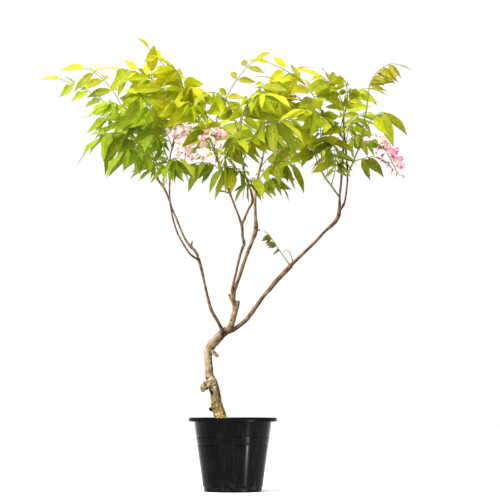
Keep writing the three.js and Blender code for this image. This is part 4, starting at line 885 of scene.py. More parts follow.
LEAFLET_SPACING = 37
SPROUT_SPACING = 15
LEAFLET_WIDTH = 0.36
RIB_WIDTH = 2.6
BLADE_FOLD = 0.22
LEAFLET_SPLAY = 62
ANGLE_SPREAD = 16
LEAST_SAG = 0.1
SAG_SPREAD = 0.14
LEAST_LENGTH = 0.93
LENGTH_SPREAD = 0.14
CLEARANCE = 5
BEAD_SPACING = 4
CURVE_STEPS = 200
# A leaflet tries each of these extra droops at full length, and then again at the shorter one.
DROOP_TRIES = (0, 12, -12, 24, -24, 36, -36, 48)
LENGTH_TRIES = (1, 0.82)
MOST_DROOP = 66
TIP_DROOP = 0.5
ROOT_SHARE = 0.16
TIP_SHARE = 0.995
# Small leaflets fill the ribs between the pairs, but not of these leaves, and they hide no flower.
SPARSE_LEAVES = {
    "leaf_crown", "leaf_far_left", "leaf_far_left_high", "leaf_centre_young",
    "leaf_right_arch", "leaf_far_right",
}
SMALL_SPACING = 19
SMALL_LENGTH = 0.5
SMALL_SPREAD = 0.3
SMALL_BARE = 0.6
SMALL_END = 0.98
SMALL_DROOPS = (10, 35, -20, 55, -40, 20)
SMALL_LENGTHS = (1, 0.75, 0.55)
SMALL_MOST_DROOP = 80
SMALL_CLEARANCE = 2.5
FLOWER_REACH = 13
# These leaves have just opened: their leaflets are narrow and stand close, like fingers.
FINGERED_LEAVES = {"leaf_far_right_high", "leaf_limb_sprout"}
FINGER_SPACING = 12
FINGER_LENGTH = 0.62
UP = np.array((0.0, 0.0, 1.0))

occupied = {}


def occupy(points):
    """Marks points as taken."""
    for point in points:
        x, y, z = float(point[0]), float(point[1]), float(point[2])
        cell = (math.floor(x / CLEARANCE), math.floor(y / CLEARANCE), math.floor(z / CLEARANCE))
        occupied.setdefault(cell, []).append((x, y, z))


def is_clear(points, least=CLEARANCE):
    """Whether all the points stay clear of what is taken."""
    for x, y, z in points:
        i, j, k = math.floor(x / CLEARANCE), math.floor(y / CLEARANCE), math.floor(z / CLEARANCE)
        for cell in ((i + a, j + b, k + c) for a in (-1, 0, 1) for b in (-1, 0, 1) for c in (-1, 0, 1)):
            for other in occupied.get(cell, ()):
                if math.dist(other, (x, y, z)) < least:
                    return False
    return True


def curve_length(point_at):
    """The length of a curve."""
    places = [point_at(step / CURVE_STEPS) for step in range(CURVE_STEPS + 1)]
    return sum(math.dist(a, b) for a, b in zip(places, places[1:]))


def beads_along(point_at):
    """Points every few millimetres along a curve."""
    count = math.ceil(curve_length(point_at) / BEAD_SPACING)
    return [point_at(step / count) for step in range(count + 1)]


def limb_curve(points):
    """The curve through a limb's points, as a function of a share of its run."""
    places = np.array([point[:3] for point in points], float)
    return lambda share: curve_point(places, share)


def place_on(limb, number):
    """The place on a limb at a point number, which may lie between two points."""
    points = WOODY_LIMBS.get(limb) or GREEN_SHOOTS[limb]
    return limb_curve(points)(number / (len(points) - 1))


def leaf_stalk(leaf):
    """A leaf's rib, from the middle of its limb through the middle point to the end."""
    root, middle, tip = place_on(leaf[1], leaf[2]), np.array(leaf[3], float), np.array(leaf[4], float)
    control = middle * 2 + root * -0.5 + tip * -0.5
    return lambda share: (1 - share) ** 2 * root + 2 * (1 - share) * share * control + share * share * tip


def stalk_frame(stalk, share, turn):
    """Directions at a share of a rib: along it, across it, and up from it, turned to the front."""
    along = direction(stalk, share)
    level = unit(np.cross(along, UP))
    raised = np.cross(level, along)
    angle = math.radians(turn) * (-1 if level[1] < 0 else 1)
    across = level * math.cos(angle) + raised * math.sin(angle)
    return {"place": stalk(share), "along": along, "across": across, "up": np.cross(across, along)}


def ovate(share):
    """Half the width of a leaflet at a share of its length, as a share of its greatest."""
    return np.sin(np.pi * np.asarray(share, float) ** 0.8).clip(0) ** 0.85


def leaflet_at(base, side, length, splay, droop, sag):
    """A leaflet's own directions and sizes, from which any point of its blade follows."""
    def fallen(vector):
        return vector * math.cos(droop) + base["up"] * -math.sin(droop)
    if side == 0:
        forward, reference = fallen(base["along"]), base["across"]
    else:
        outward = fallen(base["across"] * side)
        forward, reference = base["along"] * math.cos(splay) + outward * math.sin(splay), base["along"]
    wide = unit(reference + forward * -reference.dot(forward))
    face = np.cross(forward, wide)
    if face.dot(base["up"]) < 0:
        face = -face
    return {
        "root": base["place"] + base["across"] * (side * RIB_WIDTH / 2), "forward": forward, "wide": wide,
        "face": face, "length": length, "sag": sag, "half": length * LEAFLET_WIDTH / 2,
    }


def blade_points(leaflet, shares, edges):
    """Points of a blade: shares run from root to tip and edges from -1 to 1 across."""
    shares, edges = np.asarray(shares, float)[:, None], np.asarray(edges, float)[:, None]
    reach = leaflet["half"] * ovate(shares) * edges
    return (
        leaflet["root"] + leaflet["forward"] * (leaflet["length"] * shares)
        + UP * (-leaflet["length"] * leaflet["sag"] * shares * shares)
        + leaflet["wide"] * reach + leaflet["face"] * (np.abs(reach) * BLADE_FOLD)
    )


def blade_beads(leaflet):
    """Points all over a blade but its root, to test it for room."""
    rows = math.floor(leaflet["length"] / CLEARANCE + 0.5)
    shares, edges = [], []
    for row in range(max(math.ceil(rows * ROOT_SHARE), 2), rows + 1):
        share = min(row / rows, TIP_SHARE)
        columns = math.ceil(leaflet["half"] * float(ovate(share)) / CLEARANCE)
        for column in range(-columns, columns + 1):
            shares.append(share)
            edges.append(column / max(columns, 1))
    return blade_points(leaflet, shares, edges).tolist()


def first_with_room(base, side, length, splay, sag, tries, has_room):
    """A list with the leaflet as its first try that has room, or empty if none has.

    A try is a share of the leaflet's length, and its droop in degrees.
    """
    for shorter, droop in tries:
        leaflet = leaflet_at(base, side, length * shorter, splay, math.radians(droop), sag)
        beads = blade_beads(leaflet)
        if has_room(beads):
            occupy(beads)
            return [leaflet]
    return []


def leaflets_of(leaf, draw):
    """Chooses how each leaflet of a leaf hangs; one that finds no room is left out."""
    name, _, _, _, _, bare, usual, taper, hang, turn = leaf
    stalk = leaf_stalk(leaf)
    spacing = SPROUT_SPACING if name == "leaf_limb_sprout" else LEAFLET_SPACING
    pairs = max(1, math.floor(curve_length(stalk) * (1 - bare) / spacing + 0.5))
    slots = []
    for pair in range(pairs):
        share = bare + (1 - bare) * pair / (pairs - 0.2)
        slots += [(share, -1), (share, 1)]
    slots.append((1, 0))
    made = []
    for share, side in slots:
        splay = math.radians(LEAFLET_SPLAY + ANGLE_SPREAD * (next(draw) - 0.5))
        droop = hang + ANGLE_SPREAD * (next(draw) - 0.5)
        sag = LEAST_SAG + SAG_SPREAD * next(draw)
        length = usual * (1 - taper * share) * (LEAST_LENGTH + LENGTH_SPREAD * next(draw))
        base = stalk_frame(stalk, share, turn)
        kept = TIP_DROOP if side == 0 else 1
        tries = [(a, min(droop + b, MOST_DROOP) * kept) for a in LENGTH_TRIES for b in DROOP_TRIES]
        made += first_with_room(base, side, length, splay, sag, tries, is_clear)
    return made


def is_clear_for_small(points):
    """Whether a small leaflet has room at the points and hides no flower behind it."""
    if not is_clear(points, SMALL_CLEARANCE):
        return False
    for x, y, z in points:
        for place in flower_places:
            if y < place[1] and math.hypot(x - place[0], z - place[2]) < FLOWER_REACH:
                return False
    return True


def small_leaflets_of(leaf, draw):
    """Smaller leaflets that fill a rib between its pairs, wherever there is room for them."""
    name, _, _, _, _, bare, usual, taper, hang, turn = leaf
    if name in SPARSE_LEAVES:
        return []
    stalk = leaf_stalk(leaf)
    fingered = name in FINGERED_LEAVES
    spacing, short = (FINGER_SPACING, FINGER_LENGTH) if fingered else (SMALL_SPACING, SMALL_LENGTH)
    places = max(2, round(curve_length(stalk) * (1 - bare * SMALL_BARE) / spacing))
    tries = [(a, min(hang + b, SMALL_MOST_DROOP)) for a in SMALL_LENGTHS for b in SMALL_DROOPS]
    start = SMALL_BARE * bare
    made = []
    for place in range(places):
        share = start + (SMALL_END - start) * (place + 0.3 + 0.4 * next(draw)) / places
        for side in (-1, 1):
            splay = math.radians(LEAFLET_SPLAY + 2 * ANGLE_SPREAD * (next(draw) - 0.5))
            sag = LEAST_SAG + 2 * SAG_SPREAD * next(draw)
            length = usual * (1 - taper * share) * (short + SMALL_SPREAD * next(draw))
            base = stalk_frame(stalk, share, turn)
            made += first_with_room(base, side, length, splay, sag, tries, is_clear_for_small)
    return made


# The racemes
# Hanging clusters of pea flowers: a green stalk, thin flower stalks, red-brown cups, and soft petals.
# The oldest flowers near the root are open, and the youngest at the tip are still long buds.

# A raceme is its name, its limb, its place on it, how many florets it bears, the share of them that
# is open, how pink it is at its root and at its tip, and its stalk's points.
RACEMES = [
    ("raceme_left", "left_smooth", 8, 12, 0.95, (0.12, 0.3), [
        (-134, -82, 820, 1.5), (-118, -112, 824, 1.4), (-108, -128, 800, 1.3), (-108, -132, 766, 1.1),
    ]),
    ("raceme_centre_left", "slim_left", 5.8, 9, 0.95, (0.34, 0.16), [
        (-38, -124, 800, 1.5), (-42, -146, 818, 1.4), (-54, -156, 796, 1.3), (-70, -158, 756, 1.1),
    ]),
    ("raceme_centre", "stout", 11, 9, 0.3, (0.2, 0.5), [
        (84, 76, 828, 1.5), (104, 30, 826, 1.4), (126, 2, 800, 1.3), (140, -8, 768, 1.1),
    ]),
    ("raceme_right", "long_right_shoot", 1.7, 14, 0.55, (0.22, 0.98), [
        (308, -52, 812, 1.5), (326, -60, 810, 1.4), (346, -64, 799, 1.4), (360, -66, 780, 1.3),
        (372, -66, 757, 1.1), (384, -66, 734, 1),
    ]),
]

FLORET_SIZE = 20
PEDICEL_LENGTH = 16
PEDICEL_RADII = (0.6, 0.5, 0.7)
GOLDEN_ANGLE = math.radians(137.5)
BARE_STALK = 0.34
FLORET_TURNS = (0, 0.5, -0.5, 1, -1, 1.6, -1.6, 2.3, -2.3, 3.1)
PETAL_ROWS = 12
PETAL_COLUMNS = 10
# A petal's length, its width, and its form: its widest share, its cup, its curl and its notch.
BANNER_LENGTH = 22
BANNER_WIDTH = 24
WING = (17, 12, (0.62, 0.25, -0.12, 0))
KEEL = (14, 8, (0.55, 0.3, -0.1, 0))
# A cup's outline, as shares of its length and of its radius.
CUP_OUTLINE = ((0, 0.35), (0.25, 0.8), (0.6, 1.0), (0.85, 1.0), (1.0, 1.12))
CUP_SIDES = 20
CUP_LENGTH = 1.9
OPEN_CUP = 2.4
BUD_CUP = 3.4
# Real petal veins are about 1 mm apart, and are drawn nine to a petal so that they show.
PETAL_VEINS = 9
MOTTLE_SIZE = 5
# The down on a cup is too fine to show, and is drawn as a coarser mottle.
DOWN_SIZE = 2


def raceme_stalk(raceme):
    """A raceme's stalk points, from the middle of its limb."""
    root = place_on(raceme[1], raceme[2])
    return [(*root, raceme[6][0][3]), *raceme[6]]


def floret_beads(floret):
    """Points around a floret, to find it room and to keep leaflets away from it."""
    place, outward, end, is_open, _ = floret
    centre = end + outward * (4 if is_open else 2) + UP * (FLORET_SIZE * 0.25 if is_open else 0)
    reach = FLORET_SIZE * 0.45 if is_open else 3
    beads = [centre, place + (end - place) * 0.6, end + outward * (FLORET_SIZE * 0.5)]
    for step in ((x, y, z) for x in (-1, 0, 1) for y in (-1, 0, 1) for z in (-1, 0, 1)):
        beads.append(centre + np.array(step, float) / (math.dist(step, (0, 0, 0)) or 1) * reach)
    return [tuple(bead) for bead in beads]


def florets_of(raceme, draw):
    """Where each floret of a raceme sits, which way it faces, and whether it is open."""
    _, _, _, count, share_open, _, _ = raceme
    stalk = limb_curve(raceme_stalk(raceme))
    florets = []
    for number in range(count):
        young = number / (count - 1)
        place = stalk(BARE_STALK + (1 - BARE_STALK) * young)
        turn = number * GOLDEN_ANGLE + next(draw)
        rise = 0.35 - 0.75 * young + 0.3 * (next(draw) - 0.5)
        reach = PEDICEL_LENGTH * (1 - 0.35 * young) * (0.85 + 0.3 * next(draw))
        for extra in FLORET_TURNS:
            outward = unit(np.array((math.cos(turn + extra), math.sin(turn + extra), rise)))
            floret = (place, outward, place + outward * reach, young <= share_open, young)
            if is_clear(floret_beads(floret)):
                florets.append(floret)
                break
    return florets


def wisteria_petal():
    """A petal: thin, soft and half clear, pale at its edge and deeper pink along its veins and base."""
    material, tree = new_material("wisteria petal")
    pink = add_node(tree, "Attribute", attribute_name="pink").outputs["Fac"]
    on_petal = add_node(tree, "UVMap", uv_map="petal").outputs[0]
    across = add_node(tree, "SeparateXYZ", {0: on_petal}).outputs[0]
    fan = add_node(tree, "Math", {0: across, 1: PETAL_VEINS}, operation="MULTIPLY").outputs[0]
    line = add_node(tree, "Math", {0: fan, 1: 0.5}, operation="PINGPONG").outputs[0]
    vein = add_node(tree, "MapRange", {0: line, 1: 0.14, 2: 0, 4: 0.14}).outputs[0]
    place = add_node(tree, "TexCoord").outputs["Object"]
    mottle = add_node(tree, "TexNoise", {"Vector": place, "Scale": 1 / (MOTTLE_SIZE * MM), "Detail": 3})
    blush = add_node(tree, "MapRange", {0: mottle.outputs[0], 1: 0.4, 2: 0.66, 3: -0.14, 4: 0.26})
    veined = add_node(tree, "Math", {0: pink, 1: vein}, operation="ADD").outputs[0]
    depth = add_node(tree, "Math", {0: veined, 1: blush.outputs[0]}, operation="ADD").outputs[0]
    pinks = add_node(tree, "ValToRGB", {0: depth})
    set_stops(pinks, [
        (0, "#f8ede4"), (0.25, "#f3cdc4"), (0.5, "#e197ab"), (0.75, "#d1658f"), (1, "#9c4360"),
    ])
    bump = add_node(tree, "Bump", {"Height": line, "Strength": 0.25, "Distance": 0.3 * MM})
    surface = add_node(tree, "BsdfPrincipled", {
        "Base Color": pinks.outputs[0], "Roughness": 0.6, "Specular IOR Level": 0.25,
        "Normal": bump.outputs[0],
    })
    through = add_node(tree, "BsdfTranslucent", {"Color": pinks.outputs[0], "Normal": bump.outputs[0]})
    shader = add_node(tree, "MixShader", {0: 0.35, 1: surface.outputs[0], 2: through.outputs[0]})
    add_node(tree, "OutputMaterial", {0: shader.outputs[0]})
    return material


def flower_cup():
    """The cup of a floret: downy and dull, red-brown, and tan in places."""
    material, tree = new_material("downy flower cup")
    place = add_node(tree, "TexCoord").outputs["Object"]
    down = add_node(tree, "TexNoise", {"Vector": place, "Scale": 1 / (DOWN_SIZE * MM), "Detail": 4})
    browns = add_node(tree, "ValToRGB", {0: down.outputs[0]})
    set_stops(browns, [(0.3, "#3c170f"), (0.55, "#64301f"), (0.75, "#80572f")])
    bump = add_node(tree, "Bump", {"Height": down.outputs[0], "Strength": 0.4, "Distance": 0.2 * MM})
    shader = add_node(tree, "BsdfPrincipled", {
        "Base Color": browns.outputs[0], "Roughness": 0.7, "Sheen Weight": 0.3, "Normal": bump.outputs[0],
    })
    add_node(tree, "OutputMaterial", {0: shader.outputs[0]})
    return material


PETAL = wisteria_petal()
CUP = flower_cup()


class Sheets:
    """Corners, faces, material numbers, blade places and a value for each corner of one piece."""

    def __init__(self):
        self.corners, self.faces, self.kinds, self.places, self.values = [], [], [], [], []

    def grid(self, points, rows, columns, kind, value):
        """Adds an open sheet of (rows + 1) by (columns + 1) points, given row by row."""
        start = len(self.corners)
        self.corners.extend(points)
        for row in range(rows + 1):
            for column in range(columns + 1):
                self.places.append((column / columns, row / rows))
        self.values.extend(value if np.ndim(value) else [value] * len(points))
        for row in range(rows):
            for column in range(columns):
                low = start + row * (columns + 1) + column
                self.faces.append((low, low + 1, low + columns + 2, low + columns + 1))
                self.kinds.append(kind)

    def stem(self, rings, sides, kind, swell=None):
        """Adds a closed round stem along rings."""
        before = len(self.faces)
        tube(rings, sides, self.corners, self.faces, swell)
        self.kinds.extend([kind] * (len(self.faces) - before))
        added = len(self.corners) - len(self.places)
        self.places.extend([(0, 0)] * added)
        self.values.extend([0.5] * added)

    def piece(self, name, slot, materials, layer, value_name):
        """Makes the piece, with its blade places as a map and its values as an attribute."""
        made = add_piece(name, self.corners, self.faces, materials)
        made.data.polygons.foreach_set("material_index", self.kinds)
        corner_of_loop = np.zeros(len(made.data.loops), int)
        made.data.loops.foreach_get("vertex_index", corner_of_loop)
        map_layer = made.data.uv_layers.new(name=layer)
        map_layer.data.foreach_set("uv", np.ravel(np.array(self.places)[corner_of_loop]))
        set_values(made.data, value_name, "FLOAT", self.values)
        return made


def petal(sheets, base, run, wide, face, length, width, form, pink):
    """Adds a petal that starts at `base`. `form` is its widest share, its cup, its curl and its notch."""
    widest, cup, curl, notch = form
    fullness, least_half, notch_width, ruffling = 0.55, 0.4, 0.3, 0.07
    points, values = [], []
    for row in range(PETAL_ROWS + 1):
        share = row / PETAL_ROWS
        half = width / 2 * math.sin(math.pi * share ** (math.log(0.5) / math.log(widest))) ** fullness
        half = max(half, least_half)
        for column in range(PETAL_COLUMNS + 1):
            edge = 2 * column / PETAL_COLUMNS - 1
            along = length * share * (1 - notch * share * math.exp(-(edge / notch_width) ** 2))
            ruffle = ruffling * width * share * math.sin(9 * edge + 5 * share)
            cupped = cup * width * (1 - edge * edge) * share * (1 - share)
            lift = cupped - curl * length * share * share + ruffle
            points.append(base + run * along + wide * (half * edge) + face * lift)
            values.append(pink * (0.5 + 0.8 * share * (0.2 + 0.8 * abs(edge))))
    sheets.grid(points, PETAL_ROWS, PETAL_COLUMNS, 0, values)


def cup_and_stalk(sheets, place, end, outward, size):
    """Adds a floret's thin stalk and its toothed cup."""
    root, middle, tip = PEDICEL_RADII
    sheets.stem(limb_rings([(*place, root), (*(place + end) / 2, middle), (*end, tip)], 6), 8, 2)
    across = unit(np.cross(outward, UP))
    other = np.cross(across, outward)
    points = []
    for share, radius in CUP_OUTLINE:
        for side in range(CUP_SIDES + 1):
            angle = 2 * math.pi * side / CUP_SIDES
            tooth = 0.35 * (share > 0.9) * max(0, math.cos(2.5 * angle)) ** 2
            reach = size * radius
            centre = end + outward * (size * (CUP_LENGTH * (share + tooth) - 1.0))
            points.append(centre + across * (reach * math.cos(angle)) + other * (reach * math.sin(angle)))
    sheets.grid(points, len(CUP_OUTLINE) - 1, CUP_SIDES, 2, 0.5)


def open_floret(sheets, floret, pink, draw):
    """Adds an open flower: an upright banner leaning back, two wings, and a keel between them."""
    place, outward, end, _, _ = floret
    across = unit(np.cross(outward, UP))
    up = unit(np.cross(across, outward) - outward * 0.35)
    back = np.cross(up, across)
    throat = end + outward * 1.5
    cup_and_stalk(sheets, place, end, outward, OPEN_CUP)
    lean = 0.1 + 0.16 * next(draw)
    forward = back if back.dot(outward) > 0 else -back
    banner = (BANNER_LENGTH, BANNER_WIDTH + 3 * next(draw), (0.56, 0.12, lean, 0.14))
    petal(sheets, throat, up, across, forward, *banner, pink * 0.7)
    for side in (-1, 1):
        spread = 0.22 + 0.2 * next(draw)
        run = unit(outward + across * (side * spread) + UP * (-0.1 + 0.3 * next(draw)))
        tall = unit(np.cross(np.cross(run, UP), run))
        face = unit(np.cross(run, tall)) * side
        petal(sheets, throat + UP * 1.5, run, tall, face, *WING, pink)
        keel = unit(outward + across * (side * 0.1) - UP * 0.25)
        inner = unit(np.cross(np.cross(keel, UP), keel))
        petal(sheets, throat - UP, keel, inner, face, *KEEL, 0.2 + pink)


def closed_bud(sheets, floret, pink, draw):
    """Adds a bud: long, rolled and hanging, deeper in colour than an open flower."""
    place, outward, end, _, young = floret
    size = FLORET_SIZE * (1.25 - 0.95 * young * young)
    hang = unit(outward * 0.5 + UP * -(1.2 + 0.5 * next(draw)))
    cup_and_stalk(sheets, place, end, hang, BUD_CUP - 1.8 * young * young)
    rings = []
    for share in np.linspace(0, 1, 9):
        centre = end + outward * (0.5 + 0.2 * size * share * (1 - share)) + hang * (0.95 * size * share)
        radius = 0.3 + size * 0.13 * math.sin(math.pi * share ** 0.75) ** 0.8
        rings.append((*centre, radius))
    before = len(sheets.values)
    sheets.stem(limb_rings(rings, 14), 12, 0)
    own = 0.36 + 0.2 * pink + 1.5 * max(0, young - 0.8)
    sheets.values[before:] = [own] * (len(sheets.values) - before)


def build_raceme(raceme, florets, draw):
    """Makes one raceme with its stalk and all its flowers and buds."""
    name, (pale, deep) = raceme[0], raceme[5]
    sheets = Sheets()
    sheets.stem(limb_rings(raceme_stalk(raceme), 40), 10, 1)
    for floret in florets:
        _, outward, _, is_open, young = floret
        own = (pale + (deep - pale) * young) * (0.7 + 0.6 * next(draw))
        # The right raceme has opened on its sunny side alone, all but its tip.
        if name == "raceme_right" and young > 0.12:
            is_open = outward[0] > 0 and young < 0.85
        if is_open:
            open_floret(sheets, floret, own, draw)
        else:
            closed_bud(sheets, floret, own, draw)
    made = sheets.piece(name + "_flowers", "petals", [PETAL, STEM, CUP], "petal", "pink")
    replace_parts(made, name)


for limb_points in (*WOODY_LIMBS.values(), *GREEN_SHOOTS.values()):
    occupy(beads_along(limb_curve(limb_points)))
for leaf in LEAVES:
    occupy(beads_along(leaf_stalk(leaf)))

flower_places = []
flower_draw = random_source(7)
petal_draw = random_source(31)
for raceme in RACEMES:
    florets = florets_of(raceme, flower_draw)
    occupy(beads_along(limb_curve(raceme_stalk(raceme))))
    for floret in florets:
        occupy(floret_beads(floret))
        flower_places.append(floret[2])
    build_raceme(raceme, florets, petal_draw)

# The blades, ribs and green shoots
# A blade is thin, soft and half clear: it is folded a little along its midrib, waved at its edge, and hangs.
# The rib swells where it joins its limb. Young leaves are small and bronze, and top leaves are painted paler
# and yellow for the light that falls on them.
BLADE_ROWS = 16
BLADE_COLUMNS = 10
BLADE_START = 0.055
TIP_START = 0.62
TIP_NARROWING = 0.42
STALK_RADII = (0.8, 0.62, 0.4)
RIB_RADII = (1.25, 0.75)
RIB_SWELLING = 6
# The share of its full width that a leaf's blades are drawn at, and how ragged their edges are.
USUAL_SLIM = 0.92
SLIM = {"leaf_far_right_high": 0.62, "leaf_crown": 0.8, "leaf_right_arch": 1.0, "leaf_left_high": 0.85}
OLD_RAGGED = 0.22
USUAL_RAGGED = 0.05
OLD_LEAVES = {
    "leaf_left_low", "leaf_left_hanging", "leaf_left_front", "leaf_left_back", "leaf_far_left_back",
    "leaf_far_left", "leaf_left_nearest", "leaf_left_inner", "leaf_left_inner_low", "leaf_right_dark",
    "leaf_centre_left_low", "leaf_middle_lowest",
}
YOUNG_LEAVES = {
    "leaf_crown", "leaf_far_left_high", "leaf_centre_young", "leaf_right_arch_under",
    "leaf_far_right_high", "leaf_limb_sprout",
}
# Where painted light makes the crown pale and painted shade makes it deep in colour: heights, and places
# from left to right.
LOWEST_LEAF = 690
HIGHEST_LEAF = 1010
SUNNY_CREST = -150
CREST_REACH = 95
SHADY_END = 270
SHADE_REACH = 60
# Real side veins are about 0.2 mm wide. They are drawn wider, about 1.5 mm, so that they show.
VEIN_PAIRS = 9
VEIN_SLANT = 3.2
PATCH_WIDTH = 26
SPECKLE_SIZE = 6


def leaf_blade(name, greens, glow, shadow):
    """A leaf's skin: satin and veined, its green paler or deeper by painted light and shade for its place in
    the crown, and bright with light behind it.

    `greens` are its colours from deep in the crown to the top, `glow` the same seen against the light,
    and `shadow` the dark green that single leaflets turn to.
    """
    material, tree = new_material(name)
    tone = add_node(tree, "Attribute", attribute_name="tone").outputs["Fac"]
    on_blade = add_node(tree, "UVMap", uv_map="blade").outputs[0]
    run = add_node(tree, "SeparateXYZ", {0: on_blade})
    middle = add_node(tree, "Math", {0: run.outputs[0], 1: 0.5}, operation="SUBTRACT").outputs[0]
    edge = add_node(tree, "Math", {0: middle}, operation="ABSOLUTE").outputs[0]
    pairs = add_node(tree, "Math", {0: run.outputs[1], 1: VEIN_PAIRS}, operation="MULTIPLY").outputs[0]
    slant = add_node(tree, "Math", {0: edge, 1: -VEIN_SLANT, 2: pairs}, operation="MULTIPLY_ADD").outputs[0]
    between = add_node(tree, "Math", {0: slant, 1: 0.5}, operation="PINGPONG").outputs[0]
    side_vein = add_node(tree, "MapRange", {0: between, 1: 0.09, 2: 0, 4: 0.5}).outputs[0]
    midrib = add_node(tree, "MapRange", {0: edge, 1: 0.035, 2: 0.01}).outputs[0]
    vein = add_node(tree, "Math", {0: side_vein, 1: midrib}, operation="MAXIMUM").outputs[0]
    faint = add_node(tree, "Math", {0: vein, 1: 0.55}, operation="MULTIPLY").outputs[0]
    place = add_node(tree, "TexCoord").outputs["Object"]
    patches = add_node(tree, "TexNoise", {"Vector": place, "Scale": 1 / (PATCH_WIDTH * MM), "Detail": 5})
    shift = add_node(tree, "MapRange", {0: patches.outputs[0], 1: 0.3, 2: 0.7, 3: -0.12, 4: 0.12}).outputs[0]
    toned = add_node(tree, "Math", {0: tone, 1: shift}, operation="ADD").outputs[0]
    # Each leaflet is darkened by painted shade, by a share of its own, most of all deep in the crown, and
    # speckled.
    island = add_node(tree, "NewGeometry").outputs["Random Per Island"]
    depth = add_node(tree, "MapRange", {0: tone, 1: 0, 2: 1, 3: 0.85, 4: 0.45}).outputs[0]
    dull = add_node(tree, "Math", {0: island, 1: 1.5}, operation="POWER").outputs[0]
    own_shade = add_node(tree, "Math", {0: dull, 1: depth}, operation="MULTIPLY").outputs[0]
    specks = add_node(tree, "TexNoise", {"Vector": place, "Scale": 1 / (SPECKLE_SIZE * MM), "Detail": 3})
    speck = add_node(tree, "MapRange", {0: specks.outputs[0], 1: 0.4, 2: 0.68, 3: -0.04, 4: 0.16}).outputs[0]
    shade = add_node(tree, "Math", {0: own_shade, 1: speck}, operation="ADD", use_clamp=True).outputs[0]
    # Each leaflet also has a hue of its own, from a second random number, and fresher on the left.
    spread = add_node(tree, "Math", {0: island, 1: 7}, operation="MULTIPLY").outputs[0]
    second = add_node(tree, "Math", {0: spread}, operation="FRACT").outputs[0]
    own_hue = add_node(tree, "MapRange", {0: second, 3: 0.483, 4: 0.518}).outputs[0]
    across = add_node(tree, "SeparateXYZ", {0: place}).outputs[0]
    fresh = add_node(tree, "MapRange", {0: across, 1: -0.2, 2: 0.05, 3: 0.018, 4: 0}).outputs[0]
    hue = add_node(tree, "Math", {0: own_hue, 1: fresh}, operation="ADD").outputs[0]
    green, lit = add_node(tree, "ValToRGB", {0: toned}), add_node(tree, "ValToRGB", {0: toned})
    set_stops(green, greens)
    set_stops(lit, glow)
    shaded = add_node(tree, "Mix", {0: shade, 6: green.outputs[0], 7: linear(shadow)}, data_type="RGBA")
    veined = add_node(tree, "Mix", {0: faint, 6: shaded.outputs[2], 7: linear("#a5a644")}, data_type="RGBA")
    dimmed = add_node(tree, "Mix", {0: shade, 6: lit.outputs[0], 7: linear(shadow)}, data_type="RGBA")
    own_green = add_node(tree, "HueSaturation", {"Hue": hue, "Color": veined.outputs[2]}).outputs[0]
    own_glow = add_node(tree, "HueSaturation", {"Hue": hue, "Color": dimmed.outputs[2]}).outputs[0]
    bump = add_node(tree, "Bump", {"Height": between, "Strength": 0.6, "Distance": 0.6 * MM})
    surface = add_node(tree, "BsdfPrincipled", {
        "Base Color": own_green, "Roughness": 0.5, "Specular IOR Level": 0.12, "Normal": bump.outputs[0],
    })
    through = add_node(tree, "BsdfTranslucent", {"Color": own_glow, "Normal": bump.outputs[0]})
    shader = add_node(tree, "MixShader", {0: 0.42, 1: surface.outputs[0], 2: through.outputs[0]})
    add_node(tree, "OutputMaterial", {0: shader.outputs[0]})
    return material


GREEN_BLADE = leaf_blade(
    "wisteria leaf",
    [(0, "#79800d"), (0.2, "#81880d"), (0.4, "#898f0d"), (0.6, "#999e0d"), (0.8, "#9e9b0c"), (1, "#a4990c")],
    [(0, "#9da710"), (0.2, "#a4ad10"), (0.4, "#abb211"), (0.6, "#c2c612"), (0.8, "#c1bd13"), (1, "#c5b915")],
    "#232e04",
)
OLD_BLADE = leaf_blade(
    "older wisteria leaf",
    [(0, "#767c16"), (0.2, "#808818"), (0.4, "#899118"), (0.6, "#898f18"), (0.8, "#8c9018"), (1, "#919118")],
    [(0, "#839018"), (0.2, "#929c1a"), (0.4, "#9eaa1a"), (0.6, "#a9b21a"), (0.8, "#adb21b"), (1, "#b2b41c")],
    "#22300a",
)
YOUNG_BLADE = leaf_blade(
    "young bronze wisteria leaf",
    [(0, "#5b5b0c"), (0.4, "#72700e"), (0.7, "#84810f"), (1, "#968d11")],
    [(0, "#7c7a0f"), (0.4, "#918e11"), (0.7, "#a6a013"), (1, "#b6ad16")],
    "#3a3507",
)


